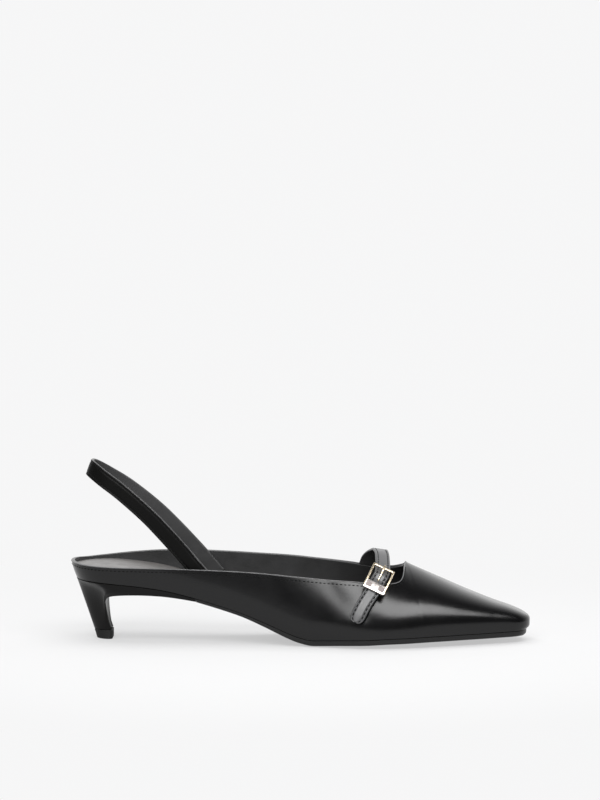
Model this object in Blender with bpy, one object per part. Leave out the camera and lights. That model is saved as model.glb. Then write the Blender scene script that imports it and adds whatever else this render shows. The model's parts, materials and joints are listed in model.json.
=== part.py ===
"""Slingback pump with a low kitten heel and a buckled instep strap: the right shoe.

The toe points along +X, the outer (lateral) side with the buckle faces -Y, and the shoe stands on Z = 0.
Every piece is worked out from one function, last_point(), which gives the surface of the shoe's last.
A station runs from 0 at the back of the heel to 1 at the tip of the toe.
"""
import math

import bmesh
import bpy
from mathutils import Matrix, Vector

# Driving sizes of the last, in metres
LENGTH = 0.256
BALL_WIDTH = 0.078
SEAT_HEIGHT = 0.0345
INSTEP_HEIGHT = 0.0437
TOE_SPRING = 0.0031
SOLE_CROWN = 0.0016
HEEL_ROUND = 0.028
TOE_ROUND = 0.008
BACK_LEAN = 0.0031
TOE_LEAN = 0.0016
TOE_LEAN_POWER = 4
BULGE = 0.0014
BULGE_RISE = 0.012
HEEL_POWER = 2.2
TOE_POWER = 2.3
NORMAL_STEP = 0.004

# Thicknesses and the clearance between neighbouring pieces
GAP = 0.0003
WALL = 0.0018
SOLE_THICKNESS = 0.0030
SOLE_INSET = 0.0003
SOLE_EDGE_SHARE = 0.47
WAIST_END = 0.36
WAIST_FADE = 0.14
CROWN_SHARES = (0.2, 0.5, 0.8)
CUSHION = 0.0086
SOCK_CLEARANCE = 0.0006

# Heel
HEEL_TIP_LENGTH = 0.0102
HEEL_TIP_WIDTH = 0.0135
HEEL_TIP_BACK = 0.0128
HEEL_BREAST_HOLLOW = 0.0014
BREAST_START = 0.72
TIP_TURN = 1.3
TIP_POWER = 0.8
TIP_FLAT = 0.55
TIP_TAPER = 0.22
TIP_TAPER_START = 0.6
TOP_PIECE_HEIGHT = 0.0050
TOP_PIECE_PROUD = 0.0003
TOP_PIECE_RAKE = 0.30
TONGUE_LENGTH = 0.071
TONGUE_THICKNESS = 0.0014
TONGUE_ROOT = 0.0062

# Straps
SLING_HEIGHT = 0.0961
SLING_BACK = 0.0106
SLING_WIDTH = 0.0092
SLING_THICKNESS = 0.0018
SLING_TILT = 0.37
SLING_TILT_POWER = 6
SLING_CLEARANCE = 0.0008
STRAP_WIDTH = 0.0084
STRAP_BASE_WIDTH = 0.0145
STRAP_THICKNESS = 0.0016
STRAP_EDGE = 0.0003
STRAP_FOOT_STATION = 0.6530
STRAP_FOOT_GAP = 0.0004
FOOT_BLEND = 2
TIP_SHARE = 0.85
TIP_ROUNDING = 0.96

# Buckle, measured in its own frame: along the strap, across it, and out from the upper
BUCKLE_LENGTH = 0.0172
BUCKLE_WIDTH = 0.0130
BUCKLE_METAL = 0.0012
METAL_EDGE = 0.0002
KEEPER_LENGTH = 0.0054
HINGE_PLACE = 0.0006
HINGE_DIAMETER = 0.0010
TAB_WIDTH = 0.0080
TAB_THICKNESS = 0.0010
TAB_WALL = 0.0004
TAB_LENGTH = 0.0130
PRONG_DIAMETER = 0.0011
PRONG_HOLE = 0.0020
PRONG_BEND = 0.45
PRONG_END = 0.2
PRONG_FLAT = 2.4
BUCKLE_HOLD = 0.75

# Mesh fineness: columns along each zone of the upper, and rows up its wall
HEEL_COLUMNS = 7
QUARTER_COLUMNS = 12
THROAT_COLUMNS = 8
VAMP_COLUMNS = 9
TOE_COLUMNS = 5
WALL_ROWS = 9
HEEL_ROWS = 12
STRAP_STEPS = 4
TIP_STEPS = 8
BREAST_STEPS = 4
ROUND_STEPS = 16
WIRE_STEPS = 2
SHARP_ANGLE = 40

LATERAL = -1
MEDIAL = 1


class Table:
    """Rows of shares under named columns, read between rows by a curve that never overshoots."""

    def __init__(self, columns, rows):
        self.columns = columns
        self.rows = rows

    def at(self, name, place):
        column = self.columns.index(name)
        places = [row[0] for row in self.rows]
        values = [row[column] for row in self.rows]
        place = min(max(place, places[0]), places[-1])
        k = max(i for i in range(len(places) - 1) if places[i] <= place)
        step = places[k + 1] - places[k]
        t = (place - places[k]) / step
        slopes = [self.slope(places, values, i) for i in (k, k + 1)]
        rest = 1 - t
        return (
            values[k] * (1 + 2 * t) * rest * rest
            + values[k + 1] * (3 - 2 * t) * t * t
            + step * t * rest * (slopes[0] * rest - slopes[1] * t)
        )

    @staticmethod
    def slope(places, values, i):
        if i in (0, len(places) - 1):
            j = min(i, len(places) - 2)
            return (values[j + 1] - values[j]) / (places[j + 1] - places[j])
        before = (values[i] - values[i - 1]) / (places[i] - places[i - 1])
        after = (values[i + 1] - values[i]) / (places[i + 1] - places[i])
        if before * after <= 0:
            return 0.0
        return 2 * before * after / (before + after)


# Plan of the feather edge: shares of BALL_WIDTH, out from the line between heel and toe
PLAN = Table(
    ("station", "lateral", "medial", "ridge"),
    (
        (0.00, 0.300, 0.300, 0.00),
        (0.11, 0.312, 0.308, 0.00),
        (0.25, 0.298, 0.272, 0.00),
        (0.38, 0.312, 0.248, 0.01),
        (0.50, 0.385, 0.300, 0.02),
        (0.60, 0.465, 0.405, 0.03),
        (0.66, 0.494, 0.470, 0.03),
        (0.72, 0.478, 0.494, 0.03),
        (0.80, 0.392, 0.440, 0.03),
        (0.88, 0.284, 0.338, 0.03),
        (0.94, 0.198, 0.252, 0.03),
        (1.00, 0.110, 0.170, 0.03),
    ),
)

# Height of the feather edge over the floor: arch is a share of the seat's rise, spring of TOE_SPRING,
# crown of SOLE_CROWN: how far the sole's edges stay above the middle that it stands on
FEATHER = Table(
    ("station", "arch", "spring", "crown"),
    (
        (0.000, 1.000, 0.00, 0.00),
        (0.070, 0.975, 0.00, 0.00),
        (0.137, 0.930, 0.00, 0.00),
        (0.203, 0.855, 0.00, 0.00),
        (0.256, 0.755, 0.00, 0.00),
        (0.293, 0.670, 0.00, 0.00),
        (0.342, 0.550, 0.00, 0.00),
        (0.377, 0.455, 0.00, 0.00),
        (0.412, 0.345, 0.00, 0.00),
        (0.447, 0.230, 0.00, 0.00),
        (0.475, 0.135, 0.00, 0.02),
        (0.504, 0.050, 0.00, 0.10),
        (0.535, 0.000, 0.00, 0.30),
        (0.600, 0.000, 0.00, 0.80),
        (0.640, 0.000, 0.05, 0.95),
        (0.700, 0.000, 0.28, 1.00),
        (0.760, 0.000, 0.44, 0.95),
        (0.850, 0.000, 0.62, 0.80),
        (0.930, 0.000, 0.78, 0.60),
        (1.000, 0.000, 1.00, 0.40),
    ),
)

# Section of the last: ridge is a share of INSTEP_HEIGHT, square the power of its rounded shape
SECTION = Table(
    ("station", "ridge", "square"),
    (
        (0.000, 2.050, 2.1),
        (0.450, 2.030, 1.95),
        (0.550, 1.710, 1.85),
        (0.600, 1.475, 1.75),
        (0.640, 1.290, 1.7),
        (0.680, 1.140, 1.7),
        (0.727, 1.002, 1.8),
        (0.797, 0.814, 2.15),
        (0.866, 0.636, 2.5),
        (0.922, 0.508, 2.9),
        (0.952, 0.450, 3.1),
        (0.978, 0.390, 3.2),
        (0.991, 0.358, 3.2),
        (1.000, 0.338, 3.2),
    ),
)

# Rim of the quarters: heights as shares of INSTEP_HEIGHT
QUARTER = Table(
    ("station", "lateral", "medial"),
    (
        (0.000, 1.006, 1.006),
        (0.030, 0.990, 0.990),
        (0.066, 0.984, 1.000),
        (0.105, 0.979, 1.022),
        (0.137, 0.975, 1.042),
        (0.203, 0.966, 1.071),
        (0.270, 0.956, 1.078),
        (0.336, 0.944, 1.070),
        (0.440, 0.912, 1.037),
        (0.486, 0.893, 1.014),
        (0.540, 0.870, 0.976),
        (0.600, 0.845, 0.930),
    ),
)

# Rim round the U of the throat, in shares of the last's own height; foot is the station where each
# column of the wall stands
THROAT = Table(
    ("turn", "top", "foot", "lateral", "medial"),
    (
        (0.00, 0.6000, 0.600, 0.540, 0.602),
        (0.20, 0.6400, 0.643, 0.604, 0.664),
        (0.38, 0.6720, 0.683, 0.655, 0.728),
        (0.52, 0.6980, 0.715, 0.700, 0.792),
        (0.66, 0.7140, 0.738, 0.745, 0.860),
        (0.78, 0.7235, 0.757, 0.803, 0.918),
        (0.90, 0.7275, 0.774, 0.895, 0.972),
        (1.00, 0.7285, 0.790, 1.000, 1.000),
    ),
)

# Sock over its board and heel pad: thickness as a share of CUSHION
SOCK = Table(
    ("station", "pad"),
    (
        (0.00, 0.92),
        (0.10, 1.00),
        (0.17, 1.00),
        (0.24, 0.93),
        (0.30, 0.72),
        (0.38, 0.44),
        (0.46, 0.28),
        (0.55, 0.21),
        (0.65, 0.18),
        (1.00, 0.18),
    ),
)

# Heel block: rise up from the tip, spread out to the seat's sides, run forward to the tongue's end
HEEL = Table(
    ("level", "rise", "spread", "run"),
    (
        (0.00, 0.000, 0.00, 0.000),
        (0.15, 0.190, 0.06, -0.027),
        (0.30, 0.400, 0.16, -0.042),
        (0.42, 0.600, 0.30, -0.054),
        (0.52, 0.770, 0.48, -0.060),
        (0.61, 0.900, 0.68, -0.036),
        (0.69, 0.960, 0.84, 0.042),
        (0.77, 0.990, 0.94, 0.260),
        (0.83, 1.000, 0.98, 0.590),
        (0.91, 1.000, 1.00, 1.000),
        (1.00, 1.000, 1.00, 1.000),
    ),
)

# Sling: shares of the way from the back of the loop to where it leaves the quarter
SLING = Table(
    ("walk", "forward", "rise", "spread"),
    (
        (0.00, 0.000, 1.000, 0.00),
        (0.16, 0.030, 0.985, 0.33),
        (0.34, 0.150, 0.893, 0.63),
        (0.52, 0.345, 0.738, 0.83),
        (0.70, 0.600, 0.490, 0.95),
        (0.85, 0.800, 0.256, 0.99),
    ),
)

# Where the sling is sewn inside the quarters: stations of its middle, and shares of the way up the last
SLING_SEWN = Table(
    ("walk", "lateral", "medial", "rise"),
    (
        (0.0, 0.2484, 0.2637, 0.355),
        (0.5, 0.2715, 0.2875, 0.262),
        (1.0, 0.2949, 0.3117, 0.176),
    ),
)

# Instep strap: round is 0 at the lateral feather edge, 1 on the ridge and 2 at the medial one, lift
# is in strap thicknesses, and level is how far the strap lies flatter than the last slopes
STRAP = Table(
    ("walk", "station", "round", "lift", "narrow", "level"),
    (
        (0.08, 0.655, 1.410, -0.56, 0.25, 0.00),
        (0.16, 0.659, 1.345, -0.56, 0.62, 0.15),
        (0.26, 0.665, 1.260, -0.56, 0.90, 0.45),
        (0.38, 0.672, 1.130, -0.56, 1.00, 0.75),
        (0.50, 0.676, 0.980, -0.40, 1.00, 0.70),
        (0.62, 0.679, 0.800, 0.45, 1.00, 0.25),
    ),
)
STRAP_TIP = Table(
    ("walk", "station", "round", "lift"),
    (
        (0.00, 0.646, 0.292, 2.00),
        (0.50, 0.636, 0.218, 1.75),
        (1.00, 0.627, 0.152, 1.65),
    ),
)

# Tab's side view round the hinge bar: place in hinge levels, then in tab lengths past TAB_FLAT
TAB = Table(
    ("walk", "place", "low", "high"),
    (
        (0.00, -0.88, 0.30, 0.72),
        (0.10, -0.66, 0.08, 0.92),
        (0.25, -0.30, 0.00, 1.00),
        (0.40, 0.30, 0.00, 1.00),
        (0.50, 0.80, 0.00, 0.93),
        (0.60, 1.60, 0.00, 0.68),
        (0.80, 0.30, 0.00, 0.42),
        (0.90, 0.65, 0.00, 0.42),
        (1.00, 1.00, 0.00, 0.42),
    ),
)
TAB_FLAT = 0.7

BUCKLE_STATION = 0.6705
BUCKLE_ROUND = 0.484
BUCKLE_AIM_STATION = 0.6505
BUCKLE_AIM_ROUND = 0.304

COLOURS = {
    "leather": ((0.012, 0.012, 0.013, 1), 0.38, 0.0),
    "lining": ((0.030, 0.029, 0.029, 1), 0.70, 0.0),
    "sole": ((0.014, 0.013, 0.013, 1), 0.50, 0.0),
    "rubber": ((0.010, 0.010, 0.010, 1), 0.65, 0.0),
    "gold": ((0.760, 0.640, 0.420, 1), 0.22, 1.0),
}


def smooth_end(share, power):
    """Rises from 0 to 1 as a quarter of a rounded end."""
    share = min(max(share, 0.0), 1.0)
    return (1 - (1 - share) ** power) ** (1 / power)


def feather_height(station):
    floor_level = SOLE_THICKNESS + GAP
    arch = FEATHER.at("arch", station) * (SEAT_HEIGHT - floor_level)
    spring = FEATHER.at("spring", station) * TOE_SPRING
    return floor_level + arch + spring + sole_crown(station)


def sole_crown(station):
    """How far the edges of the sole stay above its middle."""
    return FEATHER.at("crown", station) * SOLE_CROWN


def ridge_height(station):
    return SECTION.at("ridge", station) * INSTEP_HEIGHT


def end_factor(station):
    """Narrows the plan to nothing at the round back of the heel and at the blunt toe."""
    heel = smooth_end(station * LENGTH / HEEL_ROUND, HEEL_POWER)
    toe = smooth_end((1 - station) * LENGTH / TOE_ROUND, TOE_POWER)
    return heel * toe


def last_point(station, side, angle, inset=0.0):
    """Point on the last, angle 0 at its feather edge and a quarter turn at its ridge.

    A positive inset lies inside the last, as the inner face of the wall does.
    """
    low = feather_height(station)
    high = ridge_height(station) - inset
    power = 2 / SECTION.at("square", station)
    up = math.sin(angle) ** power
    across = max(math.cos(angle), 0.0) ** power
    height = low + (high - low) * up
    swell = BULGE * math.sin(math.pi / 2 * min(1.0, (height - low) / BULGE_RISE))
    share = PLAN.at("lateral" if side == LATERAL else "medial", station)
    centre = PLAN.at("ridge", station) * BALL_WIDTH
    half = share * BALL_WIDTH - side * centre - BULGE + swell - inset
    y = centre + side * half * end_factor(station) * across
    x = inset + station * (LENGTH - 2 * inset) - LENGTH / 2
    cup = max(0.0, 1 - station * LENGTH / HEEL_ROUND)
    x += BACK_LEAN * cup * (1 - math.sin(math.pi / 2 * min(1.0, (height - low) / BULGE_RISE)))
    tip = max(0.0, 1 - (1 - station) * LENGTH / TOE_ROUND)
    x -= TOE_LEAN * tip ** 2 * (2 * up - 1) ** TOE_LEAN_POWER
    return Vector((x, y, height))


def feather_point(station, side, inset=0.0):
    return last_point(station, side, 0.0, inset)


def rise_angle(station, rise):
    """Section angle at which the last has risen by a share of its own height."""
    return math.asin(min(1.0, rise ** (SECTION.at("square", station) / 2)))


def wrap_point(station, turn):
    """Point on the last, turn 0 at the lateral feather edge, 1 on the ridge, 2 at the medial edge."""
    side = LATERAL if turn <= 1 else MEDIAL
    return last_point(station, side, (turn if turn <= 1 else 2 - turn) * math.pi / 2)


def wrap_normal(station, turn):
    """Outward normal of the last."""
    along = wrap_point(station + NORMAL_STEP, turn) - wrap_point(station - NORMAL_STEP, turn)
    around = wrap_point(station, turn + NORMAL_STEP) - wrap_point(station, turn - NORMAL_STEP)
    return along.cross(around).normalized()


def quarter_rise(station, side):
    """Share of the last's height at which the rim of a quarter stands."""
    low = feather_height(station)
    rim = QUARTER.at("lateral" if side == LATERAL else "medial", station) * INSTEP_HEIGHT
    return (rim - low) / (ridge_height(station) - low)


def wall_columns():
    """Columns of the upper's wall: foot station, top station, lateral rise and medial rise."""
    heel_end = HEEL_ROUND / LENGTH
    toe_start = 1 - TOE_ROUND / LENGTH
    throat_start = THROAT.at("top", 0.0)
    throat_end = THROAT.at("top", 1.0)
    foot_end = THROAT.at("foot", 1.0)
    columns = []
    for i in range(HEEL_COLUMNS):
        station = heel_end * (1 - math.cos(math.pi / 2 * i / HEEL_COLUMNS))
        columns.append((station, station, quarter_rise(station, LATERAL), quarter_rise(station, MEDIAL)))
    for i in range(QUARTER_COLUMNS):
        station = heel_end + (throat_start - heel_end) * i / QUARTER_COLUMNS
        columns.append((station, station, quarter_rise(station, LATERAL), quarter_rise(station, MEDIAL)))
    for i in range(THROAT_COLUMNS):
        names = ("foot", "top", "lateral", "medial")
        columns.append(tuple(THROAT.at(name, i / THROAT_COLUMNS) for name in names))
    for i in range(VAMP_COLUMNS):
        share = i / VAMP_COLUMNS
        foot = foot_end + (toe_start - foot_end) * share
        columns.append((foot, throat_end + (toe_start - throat_end) * share, 1.0, 1.0))
    for i in range(TOE_COLUMNS + 1):
        station = 1 - (1 - toe_start) * (1 - math.sin(math.pi / 2 * i / TOE_COLUMNS))
        columns.append((station, station, 1.0, 1.0))
    return columns


def material(name):
    colour, roughness, metallic = COLOURS[name]
    found = bpy.data.materials.get(name)
    if found:
        return found
    made = bpy.data.materials.new(name)
    made.use_nodes = True
    shader = made.node_tree.nodes["Principled BSDF"]
    shader.inputs["Base Color"].default_value = colour
    shader.inputs["Roughness"].default_value = roughness
    shader.inputs["Metallic"].default_value = metallic
    return made


def finish_mesh(bm, name, finish, collection):
    """Closes up a hand-built loft and makes it an object."""
    bmesh.ops.remove_doubles(bm, verts=bm.verts, dist=1e-6)
    bmesh.ops.dissolve_degenerate(bm, edges=bm.edges, dist=1e-6)
    bmesh.ops.recalc_face_normals(bm, faces=bm.faces)
    mesh = bpy.data.meshes.new(name)
    bm.to_mesh(mesh)
    bm.free()
    made = bpy.data.objects.new(name, mesh)
    mesh.materials.append(material(finish))
    mesh.shade_smooth()
    mesh.set_sharp_from_angle(angle=math.radians(SHARP_ANGLE))
    collection.objects.link(made)
    return made


def loft(bm, rings, closed=True):
    """Skins quads between rings of points, and returns their vertices."""
    grid = [[bm.verts.new(point) for point in ring] for ring in rings]
    count = len(grid[0])
    for first, second in zip(grid, grid[1:]):
        for j in range(count if closed else count - 1):
            k = (j + 1) % count
            bm.faces.new((first[j], first[k], second[k], second[j]))
    return grid


def make_upper(collection):
    bm = bmesh.new()
    columns = wall_columns()
    for side in (LATERAL, MEDIAL):
        outer, inner = [], []
        for foot, top, lateral, medial in columns:
            top_angle = rise_angle(top, lateral if side == LATERAL else medial)
            rows = [row / WALL_ROWS for row in range(WALL_ROWS + 1)]
            for wall, inset in ((outer, 0.0), (inner, WALL)):
                wall.append([last_point(foot + (top - foot) * r, side, top_angle * r, inset) for r in rows])
        outer_grid = loft(bm, outer, closed=False)
        inner_grid = loft(bm, inner, closed=False)
        rim_end = HEEL_COLUMNS + QUARTER_COLUMNS + THROAT_COLUMNS
        for row, last_column in ((0, len(columns) - 1), (WALL_ROWS, rim_end)):
            for i in range(last_column):
                bm.faces.new((
                    outer_grid[i][row], outer_grid[i + 1][row],
                    inner_grid[i + 1][row], inner_grid[i][row],
                ))
    return finish_mesh(bm, "upper", "leather", collection)


def foot_stations(start=0.0):
    """Stations where the upper's columns stand, from start to the toe."""
    feet = [column[0] for column in wall_columns() if column[0] > start + 1e-4]
    return [start] + feet


def sole_thickness(station):
    """Thickness of the sole's edge: as thin as the heel's tongue in the waist, full at the ball."""
    waist = TONGUE_THICKNESS + GAP
    return waist + (SOLE_THICKNESS - waist) * smooth_step((station - WAIST_END) / WAIST_FADE)


def crowned_ring(station, edges):
    """Section of the sole or the sock: its edges, lateral and medial from top to bottom, and its middle.

    The middle lies lower than the edges, above as below.
    """
    lateral, medial = edges
    ring = []
    for first, last, edge in ((lateral[-1], medial[-1], lateral), (medial[0], lateral[0], medial[::-1])):
        sunk = [first.lerp(last, share) for share in CROWN_SHARES]
        for point in sunk:
            point.z -= sole_crown(station)
        ring += edge + sunk
    return ring


def make_outsole(collection):
    """Sole from the end of the heel's tongue to the toe, its lower edge eased and its middle crowned."""
    start = (TONGUE_LENGTH + GAP) / LENGTH
    rings = []
    for station in foot_stations(start):
        top = feather_height(station) - GAP
        bottom = top - sole_thickness(station)
        eased = sole_thickness(station) * SOLE_EDGE_SHARE
        edges = []
        for side in (LATERAL, MEDIAL):
            wide = feather_point(station, side, SOLE_INSET)
            narrow = feather_point(station, side, SOLE_INSET + eased)
            edges.append([
                Vector((wide.x, wide.y, top)),
                Vector((wide.x, wide.y, bottom + eased)),
                Vector((min(wide.x, narrow.x), narrow.y, bottom)),
            ])
        rings.append(crowned_ring(station, edges))
    bm = bmesh.new()
    grid = loft(bm, rings)
    cap_ladder(bm, grid[0][1:] + grid[0][:1], len(CROWN_SHARES) + 2)
    return finish_mesh(bm, "outsole", "sole", collection)


def sock_edge(station, side):
    """Upper edge of the sock, clear of the wall at its own height."""
    low = feather_height(station)
    rise = SOCK.at("pad", station) * CUSHION / (ridge_height(station) - low)
    edge = last_point(station, side, rise_angle(station, rise), WALL + SOCK_CLEARANCE)
    edge.x = min(edge.x, feather_point(station, side, WALL + SOCK_CLEARANCE).x)
    return edge


def make_insole(collection):
    """Sock on its board and heel pad, from the heel to the toe."""
    rings = []
    for station in foot_stations():
        edges = []
        for side in (LATERAL, MEDIAL):
            foot = feather_point(station, side, WALL + SOCK_CLEARANCE)
            edges.append([sock_edge(station, side), foot])
        rings.append(crowned_ring(station, edges))
    bm = bmesh.new()
    loft(bm, rings)
    return finish_mesh(bm, "insole", "lining", collection)


def tip_point(share, side, proud=0.0):
    """Outline of the heel's tip in plan: share 0 is the middle of its round back, 1 its front corner."""
    angle = math.pi / 2 * min(1.0, share * TIP_TURN)
    half = HEEL_TIP_WIDTH / 2 * math.sin(angle) ** TIP_POWER
    reach = (1 - math.cos(angle)) * (1 - TIP_FLAT) + TIP_FLAT * share
    x = HEEL_TIP_BACK - LENGTH / 2 + (HEEL_TIP_LENGTH + proud) * reach
    front = max(0.0, share - TIP_TAPER_START) / (1 - TIP_TAPER_START)
    return Vector((x, side * half * (1 - TIP_TAPER * front ** 2), 0.0))


def make_heel_block(collection):
    """Block lofted from its small tip up to the seat, drawn out forward into a thin tongue."""
    tip_level = TOP_PIECE_HEIGHT + GAP
    stations = [s for s in foot_stations() if s < TONGUE_LENGTH / LENGTH - 0.004]
    stations.append(TONGUE_LENGTH / LENGTH)
    count = len(stations) - 1
    places = [(i / count, s, LATERAL, 0.0) for i, s in enumerate(stations)]
    places += [(1.0, stations[-1], LATERAL, j / BREAST_STEPS) for j in range(1, BREAST_STEPS)]
    places += [(i / count, s, MEDIAL, 0.0) for i, s in reversed(list(enumerate(stations)))]
    rings = []
    for k in range(HEEL_ROWS + 1):
        level = k / HEEL_ROWS
        rise = HEEL.at("rise", level)
        spread = HEEL.at("spread", level)
        run = HEEL.at("run", level)
        ring = []
        for share, station, side, across in places:
            seat = feather_point(station, side)
            tip = tip_point(share, side)
            if across:
                seat = seat.lerp(feather_point(station, MEDIAL), across)
                tip = tip.lerp(tip_point(share, MEDIAL), across)
            forward = rise + (run - rise) * smooth_step(share / BREAST_START)
            x = tip.x + (seat.x - tip.x) * forward
            x -= HEEL_BREAST_HOLLOW * 4 * across * (1 - across) * (1 - level)
            y = tip.y + (seat.y - tip.y) * spread
            tongue = TONGUE_THICKNESS + (TONGUE_ROOT - TONGUE_THICKNESS) * (1 - forward)
            under = feather_height(x / LENGTH + 0.5) - GAP
            top = under - tongue * (1 - step_up(level)) * smooth_step(share)
            z = tip_level + (top - tip_level) * rise
            ring.append(Vector((x, y, z)))
        rings.append(ring)
    bm = bmesh.new()
    grid = loft(bm, rings)
    bm.faces.new(grid[0])
    cap_ladder(bm, grid[-1], count)
    return finish_mesh(bm, "heel_block", "leather", collection)


def smooth_step(share):
    share = min(max(share, 0.0), 1.0)
    return share * share * (3 - 2 * share)


def step_up(level):
    """0 until the block's last row, 1 at the seat itself."""
    return max(0.0, (level - 1 + 1 / HEEL_ROWS) * HEEL_ROWS)


def cap_ladder(bm, ring, count):
    """Closes a ring by rungs between its lateral and its medial points."""
    size = len(ring)
    for i in range(count - 1):
        bm.faces.new((ring[i], ring[i + 1], ring[size - 2 - i], ring[size - 1 - i]))
    bm.faces.new(ring[count - 1:size - count + 1])


def make_top_piece(collection):
    half_ring = [i / TIP_STEPS for i in range(TIP_STEPS + 1)]
    back = HEEL_TIP_BACK - LENGTH / 2
    rings = []
    for level in (0.0, TOP_PIECE_HEIGHT):
        forward = (TOP_PIECE_HEIGHT - level) * TOP_PIECE_RAKE
        ring = [tip_point(share, LATERAL, TOP_PIECE_PROUD) for share in half_ring]
        ring += [tip_point(share, MEDIAL, TOP_PIECE_PROUD) for share in reversed(half_ring[1:])]
        rings.append([
            Vector((p.x + forward * (1 - (p.x - back) / HEEL_TIP_LENGTH), p.y, level)) for p in ring
        ])
    bm = bmesh.new()
    grid = loft(bm, rings)
    bm.faces.new(grid[0])
    bm.faces.new(grid[-1])
    return finish_mesh(bm, "heel_top_piece", "rubber", collection)


def curve_through(points, steps):
    """Smooth path through points, as a list of points."""
    path = []
    for i in range(len(points) - 1):
        p0 = points[max(i - 1, 0)]
        p1, p2 = points[i], points[i + 1]
        p3 = points[min(i + 2, len(points) - 1)]
        for j in range(steps):
            t = j / steps
            path.append(0.5 * (
                2 * p1 + (p2 - p0) * t
                + (2 * p0 - 5 * p1 + 4 * p2 - p3) * t * t
                + (3 * p1 - p0 - 3 * p2 + p3) * t ** 3
            ))
    path.append(points[-1])
    return path


def band_rings(path, normals, widths, thickness):
    """Rings of a flat strap: path, outward normals and widths are given point by point."""
    rings = []
    for i, point in enumerate(path):
        tangent = (path[min(i + 1, len(path) - 1)] - path[max(i - 1, 0)]).normalized()
        across = normals[i].cross(tangent).normalized()
        out = tangent.cross(across).normalized()
        wide = across * (widths[i] / 2)
        edge = across * (widths[i] / 2 - STRAP_EDGE)
        thick = out * (thickness / 2)
        flat = out * (thickness / 2 - STRAP_EDGE)
        rings.append([
            point - edge + thick, point + edge + thick, point + wide + flat, point + wide - flat,
            point + edge - thick, point - edge - thick, point - wide - flat, point - wide + flat,
        ])
    return rings


def make_band(name, rings, collection):
    bm = bmesh.new()
    grid = loft(bm, rings)
    bm.faces.new(grid[0])
    bm.faces.new(grid[-1])
    return finish_mesh(bm, name, "leather", collection)


def sling_points(side):
    """Middle of the sling on one side, from the back of the loop to its sewn end."""
    inset = WALL + SLING_CLEARANCE + SLING_THICKNESS / 2
    sewn = []
    for walk, lateral, medial, rise in SLING_SEWN.rows:
        station = lateral if side == LATERAL else medial
        sewn.append(last_point(station, side, rise_angle(station, rise), inset))
    leave = sewn[0]
    back = SLING_BACK - LENGTH / 2
    points = []
    for row in SLING.rows:
        x = back + (leave.x - back) * SLING.at("forward", row[0])
        z = leave.z + (SLING_HEIGHT - leave.z) * SLING.at("rise", row[0])
        points.append(Vector((x, leave.y * SLING.at("spread", row[0]), z)))
    return points + sewn


def sling_line():
    """Middle line of the sling with its outward normals, from one sewn end to the other."""
    path = curve_through(sling_points(LATERAL)[:0:-1] + sling_points(MEDIAL), STRAP_STEPS)
    normals = []
    for i, point in enumerate(path):
        tangent = (path[min(i + 1, len(path) - 1)] - path[max(i - 1, 0)]).normalized()
        flat = Vector((tangent.x, tangent.y, 0)).normalized()
        out = Vector((-flat.y, flat.x, 0))
        high = max(0.0, (point.z - SEAT_HEIGHT) / (SLING_HEIGHT - SEAT_HEIGHT))
        lean = Vector((0, 0, SLING_TILT)) * high ** SLING_TILT_POWER
        normals.append((out + lean).normalized())
    return path, normals


def make_sling(collection):
    path, normals = sling_line()
    rings = band_rings(path, normals, [SLING_WIDTH] * len(path), SLING_THICKNESS)
    return make_band("sling_strap", rings, collection)


def buckle_frame_matrix():
    """The buckle's own frame: X along the strap to its tip, Y across, Z out from the upper."""
    origin = wrap_point(BUCKLE_STATION, BUCKLE_ROUND)
    out = wrap_normal(BUCKLE_STATION, BUCKLE_ROUND)
    aim = wrap_point(BUCKLE_AIM_STATION, BUCKLE_AIM_ROUND) - origin
    along = (aim - out * aim.dot(out)).normalized()
    across = out.cross(along)
    matrix = Matrix((along, across, out)).transposed().to_4x4()
    matrix.translation = origin
    return matrix


def hinge_level():
    """Middle of the hinge bar over the upper: it lies in the tab's loop with a gap all round."""
    return GAP + TAB_WALL + GAP + HINGE_DIAMETER / 2


def tab_top():
    """Top of the leather loop round the hinge bar, over the upper."""
    return 2 * hinge_level() - GAP


def strap_level():
    """Middle of the instep strap over the upper, inside the buckle."""
    return tab_top() + GAP + STRAP_THICKNESS / 2


def metal_level():
    """Underside of the frame and of its keeper plate, just clear of the strap."""
    return strap_level() + STRAP_THICKNESS / 2 + GAP


def inner_rim_rise(station):
    """Share of the last's height at which the inner quarter's rim stands, along quarter and throat."""
    if station < THROAT.at("top", 0.0):
        return quarter_rise(station, MEDIAL)
    rim = Table(("top", "medial"), [(row[1], row[4]) for row in THROAT.rows])
    return rim.at("medial", station)


def strap_foot(across):
    """Where the instep strap starts on the inner rim, at a distance in front of its middle."""
    station = STRAP_FOOT_STATION + across / LENGTH
    angle = rise_angle(station, inner_rim_rise(station))
    rim = last_point(station, MEDIAL, angle, WALL / 2)
    up = (last_point(station, MEDIAL, angle + NORMAL_STEP, WALL / 2) - rim).normalized()
    return rim + up * STRAP_FOOT_GAP


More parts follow.
